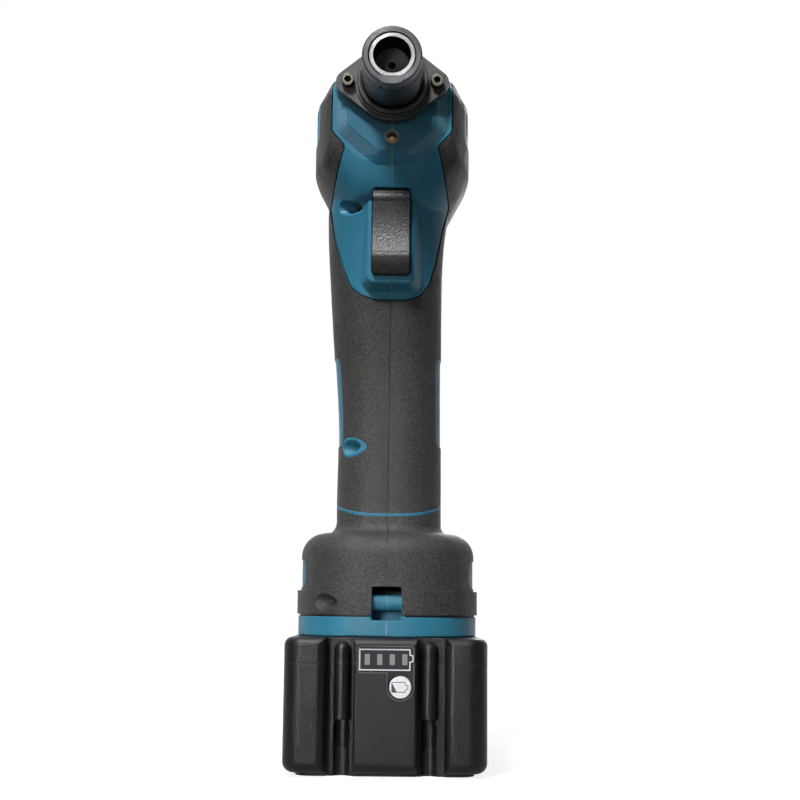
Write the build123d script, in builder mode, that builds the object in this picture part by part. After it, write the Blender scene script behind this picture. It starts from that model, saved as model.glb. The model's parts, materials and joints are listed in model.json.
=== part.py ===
"""Cordless palm nailer: a right-angle hammer head on a grip, with a slide-on battery.

All sizes are in millimetres. The frame stands on the surface that the battery
rests on, with +Z up along the motor axis, the nose pointing to -Y and the
battery leaving towards +Y. The body halves meet on the plane X = 0.
"""

import os
from math import acos, cos, pi, radians, sin, tan

from build123d import *

os.makedirs("parts", exist_ok=True)

# General fits
run_fit = 0.08            # radial clearance of a part that slides or turns
free_fit = 0.35           # clearance of a moving part that is not guided
lay_fit = 0.2             # clearance of a fixed part laid in its pocket
seam_gap = 0.1            # gap between the two body halves

# Battery
pack_width = 75.0
pack_length = 113.0
pack_front = 49.0         # gauge end, ahead of the motor axis
pack_height = 50.0        # floor to deck
pack_seam = 40.7          # height at which the two pack halves meet
pack_wall = 2.4
pack_corner = 7.0
foot_width = 66.0
foot_height = 1.3
rail_neck = 44.0          # width under the rail heads
rail_head = 52.0          # width across the rail heads
rail_neck_rise = 5.0
rail_head_rise = 6.6
rail_front = 27.0         # front end of the rail block, ahead of the motor axis
rail_length = 77.0
hook_width = 10.0         # tongue of the release button
hook_front = 46.0
block_width = 36.0        # terminal block on the body
block_front = -25.0
block_back = -5.0
blade_offset = 12.0
blade_thickness = 1.0
blade_front = -22.0
blade_back = -10.0
blade_low = 54.0
slot_width = 3.4
contact_low = 46.0
lobe_radius = 5.0
gauge_thickness = 0.8
check_radius = 4.0
release_width = 26.0
release_low = 20.0
release_high = 42.0
spring_room = 8.0
hook_low = 45.6
hook_travel = 4.0
channel_inner = 11.6      # upright channels in the gauge end
channel_outer = 21.7
channel_depth = 7.0
ridge_radius = 3.1
ridge_offset = 16.0
pocket_height = 20.5      # top of the screw pockets in the gauge end
cell_radius = 9.15
cell_length = 65.0
cell_pitch = 18.9
cells_per_row = 5

# Base of the body
deck_gap = 0.4
ring_half_width = 34.5
ring_height = 7.0
ring_groove = 0.8
band_half_width = 35.0
band_height = 9.0
bell_half_width = 33.6
bell_rise = 22.1
shoulder_radius = 9.0
neck_fillet = 4.5         # hollow where the grip meets the bell
base_front = 41.0
base_back = 49.0
base_corner = 29.0
strap_width = 11.2
strap_low = 5.7           # notch floor above the base underside
strap_high = 18.3
strap_depth = 11.5
strap_bar_radius = 3.0

# Grip and head
axis_rise = 212.9         # nail axis above the base underside
cover_thickness = 1.6
wall_thickness = 2.2
groove_width = 1.2        # groove between the covers
groove_rise = 45.4        # groove at the neck above the base underside
handle_round = 0.80       # corner radius of the grip over its half width
head_round = 5.6          # corner radius of the head sections
panel_gap = 0.45          # open joint round the blue front panel
pad_depth = 0.35          # blue windows below the rubber round them
panel_back = -5.0         # depth at which the blue front panel ends
groove_slope = 0.30       # rise of the neck groove towards the back
vent_width = 2.4          # slots in the side windows of the head
vent_height = 10.0
vent_pitch = 5.6
screw_radius = 1.5

# Nose
nose_tip = 72.0           # front of the collar, ahead of the motor axis
collar_radius = 11.5
lip_radius = 11.2
lip_length = 5.0
clip_width = 2.6
clip_inner = 10.4
clip_outer = 11.25
collar_hole = 9.0
sleeve_radius = 8.7
bore_radius = 7.1
bore_depth = 9.9
driver_radius = 6.7
driver_head_radius = 9.0
driver_head = 4.0
magnet_width = 7.6
magnet_length = 7.6
magnet_drop = 8.1         # flat of the magnet below the nail axis
shoulder_thickness = 2.8  # step that keeps the collar in the flange
collar_shoulder = 12.6
nose_spring_solid = 5.2
web_thickness = 4.8       # wall that carries the driver bushing
bumper_thickness = 2.0
nose_travel = 10.0
driver_travel = 7.0
flange_face = 43.0        # front of the flange plate, ahead of the motor axis
flange_thickness = 4.0
flange_radius = 15.5
flange_ear_radius = 4.7
flange_ear_offset = 17.3
flange_boss_radius = 13.7
flange_boss_rise = 3.6
wiper_radius = 12.7
flange_screw_radius = 1.5

# Hammer and crank
crank_throw = 5.0
roller_radius = 3.0
lug_thickness = 4.0
lug_width = 6.4
lug_clearance = 0.5
hammer_radius = 12.5
hammer_length = 18.0
hammer_bore = 9.0
hammer_bore_depth = 12.0
tube_wall = 2.8
crank_hub_radius = 15.0
crank_bearing_radius = 21.0
crank_bearing_width = 7.0

# Planetary gear
tooth_module = 0.75
sun_teeth = 12
planet_teeth = 18
ring_teeth = 48
gear_backlash = 0.16
gear_width = 6.6
planet_pin_radius = 2.0
cup_wall = 2.6

# Motor
shaft_radius = 2.5
stator_radius = 16.3
stator_length = 32.0
rotor_radius = 8.5
air_gap = 0.6
fan_radius = 15.4
motor_rise = 92.0         # stator underside above the base underside
bearing_radius = 6.5
bearing_width = 4.0

# Trigger
trigger_width = 14.4
trigger_height = 33.9
trigger_gap = 0.35
trigger_travel = 5.0
trigger_low = 139.2       # underside above the base underside
trigger_face = -33.2      # depth of the finger face
trigger_back = -20.0
trigger_corner = 1.2
trigger_lip = -22.6       # front of the lips that keep the trigger in
switch_front = -13.6
switch_back = -4.4
switch_width = 18.0
switch_height = 28.0
plunger_radius = 2.2
plunger_length = 8.0
frame_half_width = 9.2
frame_low = 3.0
frame_high = 1.6
frame_face = -30.2
frame_flare = 3.4         # how far the frame widens down to the panel

# Lamp
lamp_drop = 20.9          # lamp below the nail axis
lamp_radius = 2.4

# Heights that follow from the sizes above
base_z = pack_height + deck_gap
ring_top = base_z + ring_height
band_z = ring_top + ring_groove
band_top = band_z + band_height
bell_top = band_top + bell_rise
groove_z = base_z + groove_rise
axis_z = base_z + axis_rise

# Outlines: grip sections as (height, half width, front, back, lean to the right)
handle_stations = [
    (bell_top - 16.0, 20.9, 23.0, 23.0, 0.2),
    (base_z + 44.6, 20.7, 22.0, 22.5, 0.2),
    (base_z + 66.0, 20.6, 21.7, 22.0, 0.2),
    (base_z + 88.0, 20.75, 21.5, 21.5, -0.1),
    (base_z + 112.0, 21.6, 22.2, 21.6, -1.0),
    (base_z + 134.0, 22.35, 24.2, 22.1, -1.75),
    (axis_z - 57.0, 23.4, 26.6, 22.9, -2.0),
    (axis_z - 43.0, 24.4, 30.0, 23.5, -1.1),
    (axis_z - 21.0, 24.6, 35.4, 24.0, 0.0),
]
# Head sections as (depth, [(half width, height from the nail axis), ...])
head_stations = [
    (-36.0, [(12.0, -29.2), (23.3, -19.4), (23.3, -0.5), (19.4, 5.4), (10.2, 13.0), (5.2, 17.0)]),
    (-29.0, [(14.2, -44.5), (27.4, -28.2), (27.4, -3.0), (20.8, 7.0), (10.4, 15.5), (5.2, 18.8)]),
    (-16.0, [(21.2, -47.0), (30.6, -28.7), (30.6, -2.2), (23.9, 9.8), (10.6, 18.5), (5.2, 21.0)]),
    (2.0, [(21.8, -47.0), (31.3, -28.7), (31.3, 0.3), (25.2, 13.8), (10.8, 21.5), (5.2, 23.0)]),
    (20.0, [(20.8, -46.5), (30.2, -28.4), (30.2, 1.0), (23.5, 13.0), (10.8, 21.5), (5.2, 23.0)]),
    (32.0, [(18.2, -44.0), (26.0, -27.5), (26.0, -1.0), (19.5, 10.0), (9.9, 17.5), (5.2, 19.5)]),
    (37.0, [(14.5, -39.0), (20.3, -26.0), (20.3, -5.0), (15.2, 5.0), (8.3, 11.5), (4.7, 13.5)]),
    (38.5, [(11.5, -35.0), (15.6, -24.5), (15.6, -9.0), (11.5, -1.0), (6.8, 4.5), (4.2, 6.5)]),
]
# Hollow of the grip as (low, high, half width, front, back, lean)
grip_hollow = [
    (base_z + 14.0, base_z + 100.0, 16.6, 17.6, 17.6, -0.1),
    (base_z + 100.0, base_z + 134.0, 17.2, 18.2, 17.6, -0.6),
    (base_z + 134.0, base_z + 160.0, 18.4, 20.6, 18.2, -1.3),
    (base_z + 160.0, axis_z - 18.0, 19.4, 24.0, 19.2, -0.9),
]
# Hollow of the head as (front, back, [(half width, height from the nail axis), ...])
head_hollow = [
    (-21.0, 24.0, [(17.5, -43.0), (25.6, -28.0), (25.6, -3.0), (20.0, 5.5), (9.0, 13.5)]),
    (23.9, 31.5, [(13.0, -37.0), (19.0, -26.0), (19.0, -6.0), (14.0, 3.0), (7.0, 9.0)]),
]
# Blue front panel: edges as (distance from the middle, height from the nail axis)
panel_right = [
    (23.4, 30.0),
    (23.4, -17.5),
    (17.8, -23.5),
    (22.7, -43.0),
    (20.4, -51.5),
    (17.4, -67.0),
    (15.2, -74.8),
    (11.6, -80.0),
    (6.5, -82.2),
]
panel_left = [
    (23.4, 30.0),
    (23.4, -17.5),
    (18.2, -23.5),
    (24.3, -43.8),
    (22.3, -56.8),
    (18.4, -69.9),
    (15.4, -77.0),
    (11.6, -80.2),
    (6.5, -82.2),
]
# Shield boss under the flange, same measure
shield_edge = [(17.2, 8.0), (17.2, -16.0), (5.5, -26.1)]
facet_width = 4.9         # sloped band round the shield
facet_drop = 3.2


def write(part, label):
    """Label a finished piece and write it as a STEP file of its own."""
    part.label = label
    export_step(part, f"parts/{label}.step")


def mirrored(points):
    """Right-hand points followed by their left-hand images, as one loop."""
    return list(points) + [(-x, z) for x, z in reversed(points)]


def prism(points, near, far, grow=0.0, soften=0.0):
    """Solid between two depths whose outline is drawn from the front."""
    with BuildPart() as solid:
        with BuildSketch(Plane.XZ.offset(-near)) as outline:
            with BuildLine():
                Polyline(*points, close=True)
            make_face()
            if soften:
                fillet(outline.vertices(), radius=soften)
            if grow:
                offset(amount=grow)
        extrude(amount=near - far)
    return solid.part


def flared(points, near, far, spread, soften):
    """Like prism, but widening evenly from its near end to its far end."""
    with BuildPart() as solid:
        for depth, grow in ((near, 0.0), (far, spread)):
            with BuildSketch(Plane.XZ.offset(-depth)) as outline:
                with BuildLine():
                    Polyline(*points, close=True)
                make_face()
                fillet(outline.vertices(), radius=soften)
                if grow:
                    offset(amount=grow)
        loft(ruled=True)
    return solid.part


def side_slot(centre, size, radius, left, right):
    """Rounded block along X, drawn from the side at centre = (depth, height)."""
    with BuildPart() as solid:
        with BuildSketch(Plane.YZ.offset(left)):
            with Locations(centre):
                RectangleRounded(size[0], size[1], radius)
        extrude(amount=right - left)
    return solid.part


def side_prism(points, left, right):
    """Solid between two widths whose outline is drawn from the side."""
    with BuildPart() as solid:
        with BuildSketch(Plane.YZ.offset(left)):
            with BuildLine():
                Polyline(*points, close=True)
            make_face()
        extrude(amount=right - left)
    return solid.part


def front_slot(centre, size, radius, near, far):
    """Rounded block along Y, drawn from the front at centre = (x, height)."""
    with BuildPart() as solid:
        with BuildSketch(Plane.XZ.offset(-near)):
            with Locations(centre):
                RectangleRounded(size[0], size[1], radius)
        extrude(amount=near - far)
    return solid.part


def eared(radius, ear_radius, front, back):
    """Two-eared block on the nail axis."""
    with BuildPart() as solid:
        with BuildSketch(Plane.XZ.offset(-front)):
            with Locations((0, axis_z)):
                Circle(radius)
            with Locations((flange_ear_offset, axis_z), (-flange_ear_offset, axis_z)):
                Circle(ear_radius)
            make_hull()
        extrude(amount=front - back)
    return solid.part


def joined(*parts):
    """Several solids made one."""
    with BuildPart() as solid:
        add(parts[0])
        add(parts[1:])
    return solid.part


def trimmed(part, *cutters):
    """A solid with others taken away."""
    with BuildPart() as solid:
        add(part)
        add(cutters, mode=Mode.SUBTRACT)
    return solid.part


def common(part, other):
    """What two solids share."""
    with BuildPart() as solid:
        add(part)
        add(other, mode=Mode.INTERSECT)
    return solid.part


def box(x_range, y_range, z_range):
    """Plain block given by its limits."""
    with BuildPart() as solid:
        with Locations((x_range[0], y_range[0], z_range[0])):
            Box(
                x_range[1] - x_range[0],
                y_range[1] - y_range[0],
                z_range[1] - z_range[0],
                align=(Align.MIN, Align.MIN, Align.MIN),
            )
    return solid.part


def upright(radius, low, high, at=(0, 0)):
    """Cylinder that stands on the Z direction."""
    with BuildPart() as solid:
        with Locations((at[0], at[1], low)):
            Cylinder(radius, high - low, align=(Align.CENTER, Align.CENTER, Align.MIN))
    return solid.part


def lengthwise(radius, front, back, at=(0, axis_z)):
    """Cylinder that lies along Y, by default on the nail axis."""
    with BuildPart() as solid:
        with BuildSketch(Plane.XZ.offset(-front)):
            with Locations(at):
                Circle(radius)
        extrude(amount=front - back)
    return solid.part


def crosswise(radius, left, right, at):
    """Cylinder that lies along X through the point at = (depth, height)."""
    with BuildPart() as solid:
        with BuildSketch(Plane.YZ.offset(left)):
            with Locations(at):
                Circle(radius)
        extrude(amount=right - left)
    return solid.part


def turned(points):
    """Ring turned on the nail axis from (depth, radius) points."""
    with BuildPart() as solid:
        with BuildSketch(Plane.YZ):
            with BuildLine():
                Polyline(*[(y, axis_z + r) for y, r in points], close=True)
            make_face()
        revolve(axis=Axis((0, 0, axis_z), (0, 1, 0)))
    return solid.part


def spun(points):
    """Ring turned on the motor axis from (radius, height) points."""
    with BuildPart() as solid:
        with BuildSketch(Plane.XZ):
            with BuildLine():
                Polyline(*points, close=True)
            make_face()
        revolve(axis=Axis.Z)
    return solid.part


# Body envelopes, drawn in from the outer skin by an inset

def handle_envelope(inset):
    """Grip, lofted through its sections."""
    with BuildPart() as solid:
        for height, half_width, front, back, lean in handle_stations:
            with BuildSketch(Plane.XY.offset(height)):
                with Locations((lean, (back - front) / 2)):
                    RectangleRounded(
                        2 * (half_width - inset),
                        front + back - 2 * inset,
                        handle_round * (half_width - inset),
                    )
        loft()
    return solid.part


def grip_room(low, high, half_width, front, back, lean):
    """Straight length of the hollow in the grip."""
    with BuildPart() as solid:
        with BuildSketch(Plane.XY.offset(low)):
            with Locations((lean, (back - front) / 2)):
                RectangleRounded(2 * half_width, front + back, handle_round * half_width)
        extrude(amount=high - low)
    return solid.part


def head_envelope(inset):
    """Hammer head, lofted from front to back."""
    first = head_stations[0][0]
    last = head_stations[-1][0]
    with BuildPart() as solid:
        for depth, outline in head_stations:
            slide = inset * (2 * (depth - first) / (last - first) - 1)
            with BuildSketch(Plane.XZ.offset(slide - depth)) as section:
                with BuildLine():
                    Polyline(*mirrored([(x, axis_z + z) for x, z in outline]), close=True)
                make_face()
                if inset:
                    offset(amount=-inset, kind=Kind.INTERSECTION)
                fillet(section.vertices(), radius=head_round - inset)
        loft()
    return solid.part


def base_plate(half_width, inset, low, high):
    """Slab with the rounded outline of the base."""
    reach = ring_half_width - half_width
    with BuildPart() as solid:
        with BuildSketch(Plane.XY.offset(low)):
            with Locations((0, (base_back - base_front) / 2)):
                RectangleRounded(
                    2 * (half_width - inset),
                    base_front + base_back - 2 * reach - 2 * inset,
                    base_corner - reach - inset,
                )
        extrude(amount=high - low)
    return solid.part


def bell_envelope(inset, low):
    """Bell of the base, with its rounded shoulder."""
    body = base_plate(bell_half_width, inset, low, bell_top - inset)
    with BuildPart() as solid:
        add(body)
        fillet(solid.edges().group_by(Axis.Z)[-1], radius=shoulder_radius - inset)
    return solid.part


def neck_envelope():
    """Hollow flare between the grip and the top of the bell."""
    with BuildPart() as solid:
        for angle in (0, 22, 44, 66, 88):
            sweep_angle = radians(angle)
            grow = neck_fillet * (1 - cos(sweep_angle)) - 0.05
            height = bell_top + neck_fillet * (1 - sin(sweep_angle))
            with BuildSketch(Plane.XY.offset(height)):
                with Locations((0, 0.2)):
                    RectangleRounded(41.3 + 2 * grow, 44.6 + 2 * grow, 16.5 + grow)
        with BuildSketch(Plane.XY.offset(bell_top - 3)):
            with Locations((0, 0.2)):
                RectangleRounded(41.3 + 2 * grow, 44.6 + 2 * grow, 16.5 + grow)
        loft()
    return solid.part


# Heights and depths of the mechanism

hammer_low = axis_z - hammer_radius
roller_top = hammer_low - 0.5
roller_low = roller_top - 4.4
crank_top = roller_low - 0.2
crank_low = crank_top - crank_bearing_width
planet_top = crank_low - 0.3
planet_low = planet_top - gear_width
cup_low = planet_low - 1.1
cover_low = cup_low - 4.4
cup_bore = crank_bearing_radius + 0.02
cup_radius = cup_bore + cup_wall
cup_top = axis_z - hammer_radius - tube_wall + 1.2

lug_back = -(crank_throw + roller_radius + lug_clearance)
lug_front = lug_back - lug_thickness
hammer_travel = crank_throw + roller_radius - lug_front
hammer_front = lug_front - 0.5
hammer_back = hammer_front + hammer_length
driver_back = hammer_front - 0.1
driver_shoulder = driver_back - driver_head
bumper_front = driver_shoulder - bumper_thickness
web_front = bumper_front - web_thickness
collar_back = web_front - nose_travel - nose_spring_solid
collar_step = collar_back - shoulder_thickness
flange_seat = flange_thickness - flange_face
plug_face = hammer_back + hammer_travel + 1.0
tube_back = plug_face + 2.5
plug_back = tube_back + 2.4
tube_bore = hammer_radius + run_fit
tube_radius = hammer_radius + tube_wall

motor_z = base_z + motor_rise
motor_top = motor_z + stator_length
coil_reach = 3.2
fan_low = motor_top + coil_reach + 1.0
fan_top = fan_low + 5.6
top_bearing_low = fan_top + 1.2
low_bearing_low = motor_z - coil_reach - 1.6 - bearing_width
shaft_low = low_bearing_low - 1.4
trigger_z = base_z + trigger_low
trigger_mid = trigger_z + trigger_height / 2
lamp_z = axis_z - lamp_drop
rail_top = pack_height + rail_neck_rise + rail_head_rise
floor_low = rail_top + 0.5
floor_top = floor_low + 2.2

# Body screws as (depth, height, pocket radius, pocket floor, tip)
body_screws = [
    (-25.4, axis_z - 45.6, 3.0, -11.4, 10.6),
    (-17.0, base_z + 72.6, 3.0, -8.0, 9.0),
    (-35.4, base_z + 12.4, 3.1, -13.0, 13.0),
    (16.6, base_z + 72.6, 3.0, -8.0, 9.0),
    (17.4, base_z + 149.0, 3.0, -8.0, 9.5),
    (30.6, axis_z - 26.0, 3.6, -10.0, 13.0),
    (41.0, base_z + 22.0, 3.6, -12.0, 13.0),
]
rim_screws = (1, 3, 4)    # pockets with a blue rim flush with the rubber
lined_screw = 2           # pocket lined with rubber
rim_width = 0.95

# Body skin and core

skin_grip = handle_envelope(0)
skin_head = head_envelope(0)
core_grip = handle_envelope(cover_thickness)
core_head = head_envelope(cover_thickness)
skin_base = joined(bell_envelope(0, band_z), base_plate(band_half_width, 0, band_z, band_top))
core_base = joined(
    bell_envelope(cover_thickness, ring_top - 1.0),
    base_plate(ring_half_width, 0, base_z, ring_top),
)
skin_body = joined(skin_grip, skin_head, skin_base)
core_body = joined(core_grip, core_head, core_base)

panel_loop = [(x, axis_z + z) for x, z in panel_right]
panel_loop += [(-x, axis_z + z) for x, z in reversed(panel_left)]
panel_blue = prism(panel_loop, -60, panel_back, soften=2.4)
panel_cut = prism(panel_loop, -60, panel_back + panel_gap, grow=panel_gap, soften=2.4)
spine_blue = box((-9, 9), (-40, 24), (axis_z + 6, axis_z + 30))
spine_cut = box((-9 - panel_gap, 9 + panel_gap), (-40, 24 + panel_gap), (axis_z + 6, axis_z + 30))
raised = common(joined(skin_grip, skin_head), joined(panel_blue, spine_blue))

# Shield boss and trigger frame

shield_loop = mirrored([(x, axis_z + z) for x, z in shield_edge])
facets = common(
    flared(shield_loop, flange_seat, flange_seat + facet_drop, facet_width, 2.0),
    box((-30, 30), (-60, 0), (axis_z - 60, axis_z - 2.5)),
)
shield = joined(prism(shield_loop, flange_seat, -24, soften=2.0), facets)
ear_boss = eared(flange_radius + 0.5, flange_ear_radius + 0.5, flange_seat, -24)
frame_loop = [
    (-frame_half_width, trigger_z - frame_low),
    (frame_half_width, trigger_z - frame_low),
    (frame_half_width, trigger_z + trigger_height + frame_high),
    (-frame_half_width, trigger_z + trigger_height + frame_high),
]
with BuildPart() as frame_block:
    add(flared(frame_loop, frame_face, -22, frame_flare, 2.6))
    fillet(frame_block.edges().group_by(Axis.Y)[0], radius=1.2)

# Room for the battery rails and the release tongue

lip_top = pack_height + rail_neck_rise - free_fit
rail_room = [
    box(
        (-rail_neck / 2 - free_fit, rail_neck / 2 + free_fit),
        (-rail_front - 0.5, 80),
        (base_z - 1, lip_top + 1),
    ),
    box(
        (-rail_head / 2 - free_fit, rail_head / 2 + free_fit),
        (-rail_front - 0.5, 80),
        (lip_top, floor_low),
    ),
    box(
        (-hook_width / 2 - 0.6, hook_width / 2 + 0.6),
        (hook_front - 0.4, 80),
        (floor_low - 1, floor_top + 1),
    ),
]

# Rubber covers

left_side = box((-80, -seam_gap / 2), (-90, 90), (-5, 300))
right_side = box((seam_gap / 2, 80), (-90, 90), (-5, 300))
slope = groove_slope
below_groove = side_prism(
    [(-60, 0), (60, 0), (60, groove_z + 82 * slope), (-60, groove_z - 38 * slope)], -60, 60
)
above_groove = side_prism(
    [
        (-60, groove_z + groove_width - 38 * slope),
        (60, groove_z + groove_width + 82 * slope),
        (60, 300),
        (-60, 300),
    ],
    -60,
    60,
)
grip_window = side_slot((-1.0, base_z + 91.6), (25, 36), 3, -60, 60)
window_mid = (-6, axis_z - 8.5)
head_window = side_slot(window_mid, (36, 18.4), 3, -60, 60)
bell_window = side_slot((-3, base_z + 23.3), (40, 10.7), 4, -60, 60)
pads = joined(
    common(handle_envelope(pad_depth), grip_window),
    common(head_envelope(pad_depth), head_window),
    common(bell_envelope(pad_depth, band_top), bell_window),
)
strap_notch = box(
    (-strap_width / 2, strap_width / 2),
    (-60, strap_depth - base_front),
    (base_z + strap_low, base_z + strap_high),
)
cover_pockets = []
rims = []
for index, (y, z, r, floor, end) in enumerate(body_screws):
    if index in rim_screws:
        cover_pockets.append(crosswise(r + rim_width + 0.05, -60, floor, (y, z)))
        rims.append(common(skin_grip, crosswise(r + rim_width, -60, floor, (y, z))))
    elif index != lined_screw:
        cover_pockets.append(crosswise(r + 1.3, -60, 0, (y, z)))
lined_y, lined_z, lined_radius, lined_floor = body_screws[lined_screw][:4]
liner_radius = lined_radius + 1.2
liner = common(skin_base, crosswise(liner_radius, -60, lined_floor, (lined_y, lined_z)))

head_cover = trimmed(
    skin_head, core_head, core_grip, panel_cut, spine_cut, head_window, *cover_pockets
)
grip_cover = trimmed(
    common(skin_grip, above_groove), core_grip, skin_head, panel_cut, grip_window, *cover_pockets
)
base_rubber = trimmed(
    common(joined(skin_base, skin_grip, neck_envelope()), below_groove),
    core_base,
    core_grip,
    bell_window,
    strap_notch,
    *rail_room,
    *cover_pockets,
)
base_cover = trimmed(
    joined(base_rubber, liner), crosswise(lined_radius, -60, lined_floor + 1, (lined_y, lined_z))
)
for name, cover in (("head_bumper", head_cover), ("grip_cover", grip_cover), ("base_cover", base_cover)):
    write(common(cover, left_side), f"{name}_left")
    write(common(cover, right_side), f"{name}_right")

# Body halves

cavity = joined(
    bell_envelope(cover_thickness + wall_thickness, floor_top),
    *[grip_room(*sizes) for sizes in grip_hollow],
    *[
        prism(mirrored([(x, axis_z + z) for x, z in outline]), front, back, soften=3.0)
        for front, back, outline in head_hollow
    ],
)
rib_heights = [
    (low_bearing_low - 1.0, low_bearing_low + bearing_width),
    (top_bearing_low, top_bearing_low + bearing_width + 1.0),
    (trigger_z + 1.0, trigger_z + 3.0),
    (trigger_z + trigger_height - 5.0, trigger_z + trigger_height - 3.0),
    (cover_low + 1.0, cover_low + 3.0),
    (planet_low + 2.0, planet_low + 4.0),
]
rib_depths = [(-16.0, -14.0), (12.0, 14.0), (plug_face - 1.0, plug_face + 1.0)]
ribs = [box((-40, 40), (-50, 60), (low, high)) for low, high in rib_heights]
ribs += [box((-40, 40), (front, back), (axis_z - 40, axis_z + 30)) for front, back in rib_depths]
bosses = [crosswise(4.2, -40, 40, (y, z)) for y, z, r, floor, end in body_screws]
cavity = trimmed(cavity, *ribs, *bosses)

gear_room = [
    eared(flange_radius - 0.3, flange_ear_radius - 0.3, flange_seat - 10, -23.8),
    lengthwise(tube_radius + lay_fit, -26.2, plug_back + lay_fit),
    upright(cup_radius + lay_fit, cover_low - lay_fit, cup_top + lay_fit),
]
motor_room = [
    upright(stator_radius + 0.1, motor_z - coil_reach - 0.5, motor_top + coil_reach + 0.5),
    upright(fan_radius + 0.5, motor_top, top_bearing_low),
    upright(bearing_radius + 0.02, low_bearing_low, low_bearing_low + bearing_width + 1),
    upright(bearing_radius + 0.02, top_bearing_low - 1, top_bearing_low + bearing_width),
    upright(shaft_radius + 1.0, shaft_low - 0.5, cup_low),
]
trigger_room = [
    front_slot(
        (0, trigger_mid),
        (trigger_width + 2 * trigger_gap, trigger_height + 2 * trigger_gap),
        trigger_corner + trigger_gap,
        -60,
        -14,
    ),
    box(
        (-trigger_width / 2 - 2.6, trigger_width / 2 + 2.6),
        (trigger_lip - 0.1, switch_front),
        (trigger_z - trigger_gap, trigger_z + trigger_height + trigger_gap),
    ),
    box(
        (-switch_width / 2 - lay_fit, switch_width / 2 + lay_fit),
        (switch_front - lay_fit, switch_back + lay_fit),
        (trigger_mid - switch_height / 2 - lay_fit, trigger_mid + switch_height / 2 + lay_fit),
    ),
]
lamp_room = [
    lengthwise(lamp_radius + 0.1, -60, -28, at=(0, lamp_z)),
    lengthwise(4.3, -32.6, -28, at=(0, lamp_z)),
]
block_room = [
    box(
        (-block_width / 2 - lay_fit, block_width / 2 + lay_fit),
        (block_front - lay_fit, block_back + lay_fit),
        (floor_low - 1, floor_top + 1),
    )
]
screw_room = []
for index, (y, z, r, floor, end) in enumerate(body_screws):
    opening = liner_radius if index == lined_screw else r
    screw_room.append(crosswise(opening, -60, floor, (y, z)))
    screw_room.append(crosswise(screw_radius + 0.05, floor - 1, end + 0.5, (y, z)))

vent_room = []
for step in (-2, -1, 0, 1, 2):
    spot = (window_mid[0] + step * vent_pitch, window_mid[1])
    for left, right in ((-60, -24), (24, 60)):
        vent_room.append(side_slot(spot, (vent_width, vent_height), vent_width / 2 - 0.05, left, right))

strap_bar = crosswise(
    strap_bar_radius, -strap_width / 2, strap_width / 2, (body_screws[2][0], body_screws[2][1])
)
strap_room = trimmed(strap_notch, strap_bar)
rooms = [cavity, strap_room] + rail_room + gear_room + motor_room + trigger_room
rooms += lamp_room + block_room + screw_room + vent_room
with BuildPart() as body:
    add(joined(core_body, raised, pads, *rims, shield, ear_boss, frame_block.part, strap_bar))
    add(rooms, mode=Mode.SUBTRACT)
write(common(body.part, left_side), "body_left")
write(common(body.part, right_side), "body_right")

# Body screws

with BuildPart() as body_screw_set:
    for y, z, r, floor, end in body_screws:
        with BuildSketch(Plane.YZ.offset(floor)):
            with Locations((y, z)):
                Circle(r - 0.4)
        extrude(amount=-2.2)
        with BuildSketch(Plane.YZ.offset(floor)):
            with Locations((y, z)):
                Circle(screw_radius)
        extrude(amount=end - floor)
        with BuildSketch(Plane.YZ.offset(floor - 2.2)):
            with Locations((y, z)):
                Rectangle(0.8, 2 * (r - 1.1))
                Rectangle(2 * (r - 1.1), 0.8)
        extrude(amount=1.2, mode=Mode.SUBTRACT)
write(body_screw_set.part, "body_screws")

# Nose flange, its screws and the wiper

wiper_depth = 1.8
boss_front = -flange_face - flange_boss_rise
lip_back = collar_step - 0.2
with BuildPart() as nose_flange:
    add(eared(flange_radius, flange_ear_radius, -flange_face, flange_seat))
    add(lengthwise(flange_radius - 1.0, -flange_face - 1.2, flange_seat))
    add(lengthwise(flange_boss_radius, boss_front, flange_seat))
    chamfer(nose_flange.edges().group_by(Axis.Y)[0], length=0.4)
    add(
        [
            lengthwise(wiper_radius, boss_front - 1, boss_front + wiper_depth),
            lengthwise(collar_radius + run_fit, boss_front - 1, 0),
            lengthwise(collar_shoulder + 0.3, lip_back, 0),
            lengthwise(flange_screw_radius + 0.1, -60, 0, at=(flange_ear_offset, axis_z)),
            lengthwise(flange_screw_radius + 0.1, -60, 0, at=(-flange_ear_offset, axis_z)),
        ],
        mode=Mode.SUBTRACT,
    )
write(nose_flange.part, "nose_flange")

screw_head_front = -flange_face - 3.0
with BuildPart() as flange_screw_set:
    for side in (-1, 1):
        spot = (side * flange_ear_offset, axis_z)
        add(lengthwise(2.5, screw_head_front, -flange_face, at=spot))
        add(lengthwise(flange_screw_radius, -flange_face, -27.5, at=spot))
        with BuildSketch(Plane.XZ.offset(-screw_head_front)):
            with Locations(spot):
                RegularPolygon(1.45, 6)
        extrude(amount=-1.8, mode=Mode.SUBTRACT)
    chamfer(flange_screw_set.edges().group_by(Axis.Y)[0].filter_by(GeomType.CIRCLE), length=0.35)
write(flange_screw_set.part, "flange_screws")

wiper = turned(
    [
        (boss_front + 0.5, collar_radius + 0.1),
        (boss_front + 0.2, collar_radius + 0.5),
        (boss_front + 0.2, wiper_radius),
        (boss_front + wiper_depth, wiper_radius),
        (boss_front + wiper_depth, collar_radius + 0.1),
    ]
)
write(wiper, "nose_wiper")

# Nose guide: collar, sleeve, magnet and clip

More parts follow.
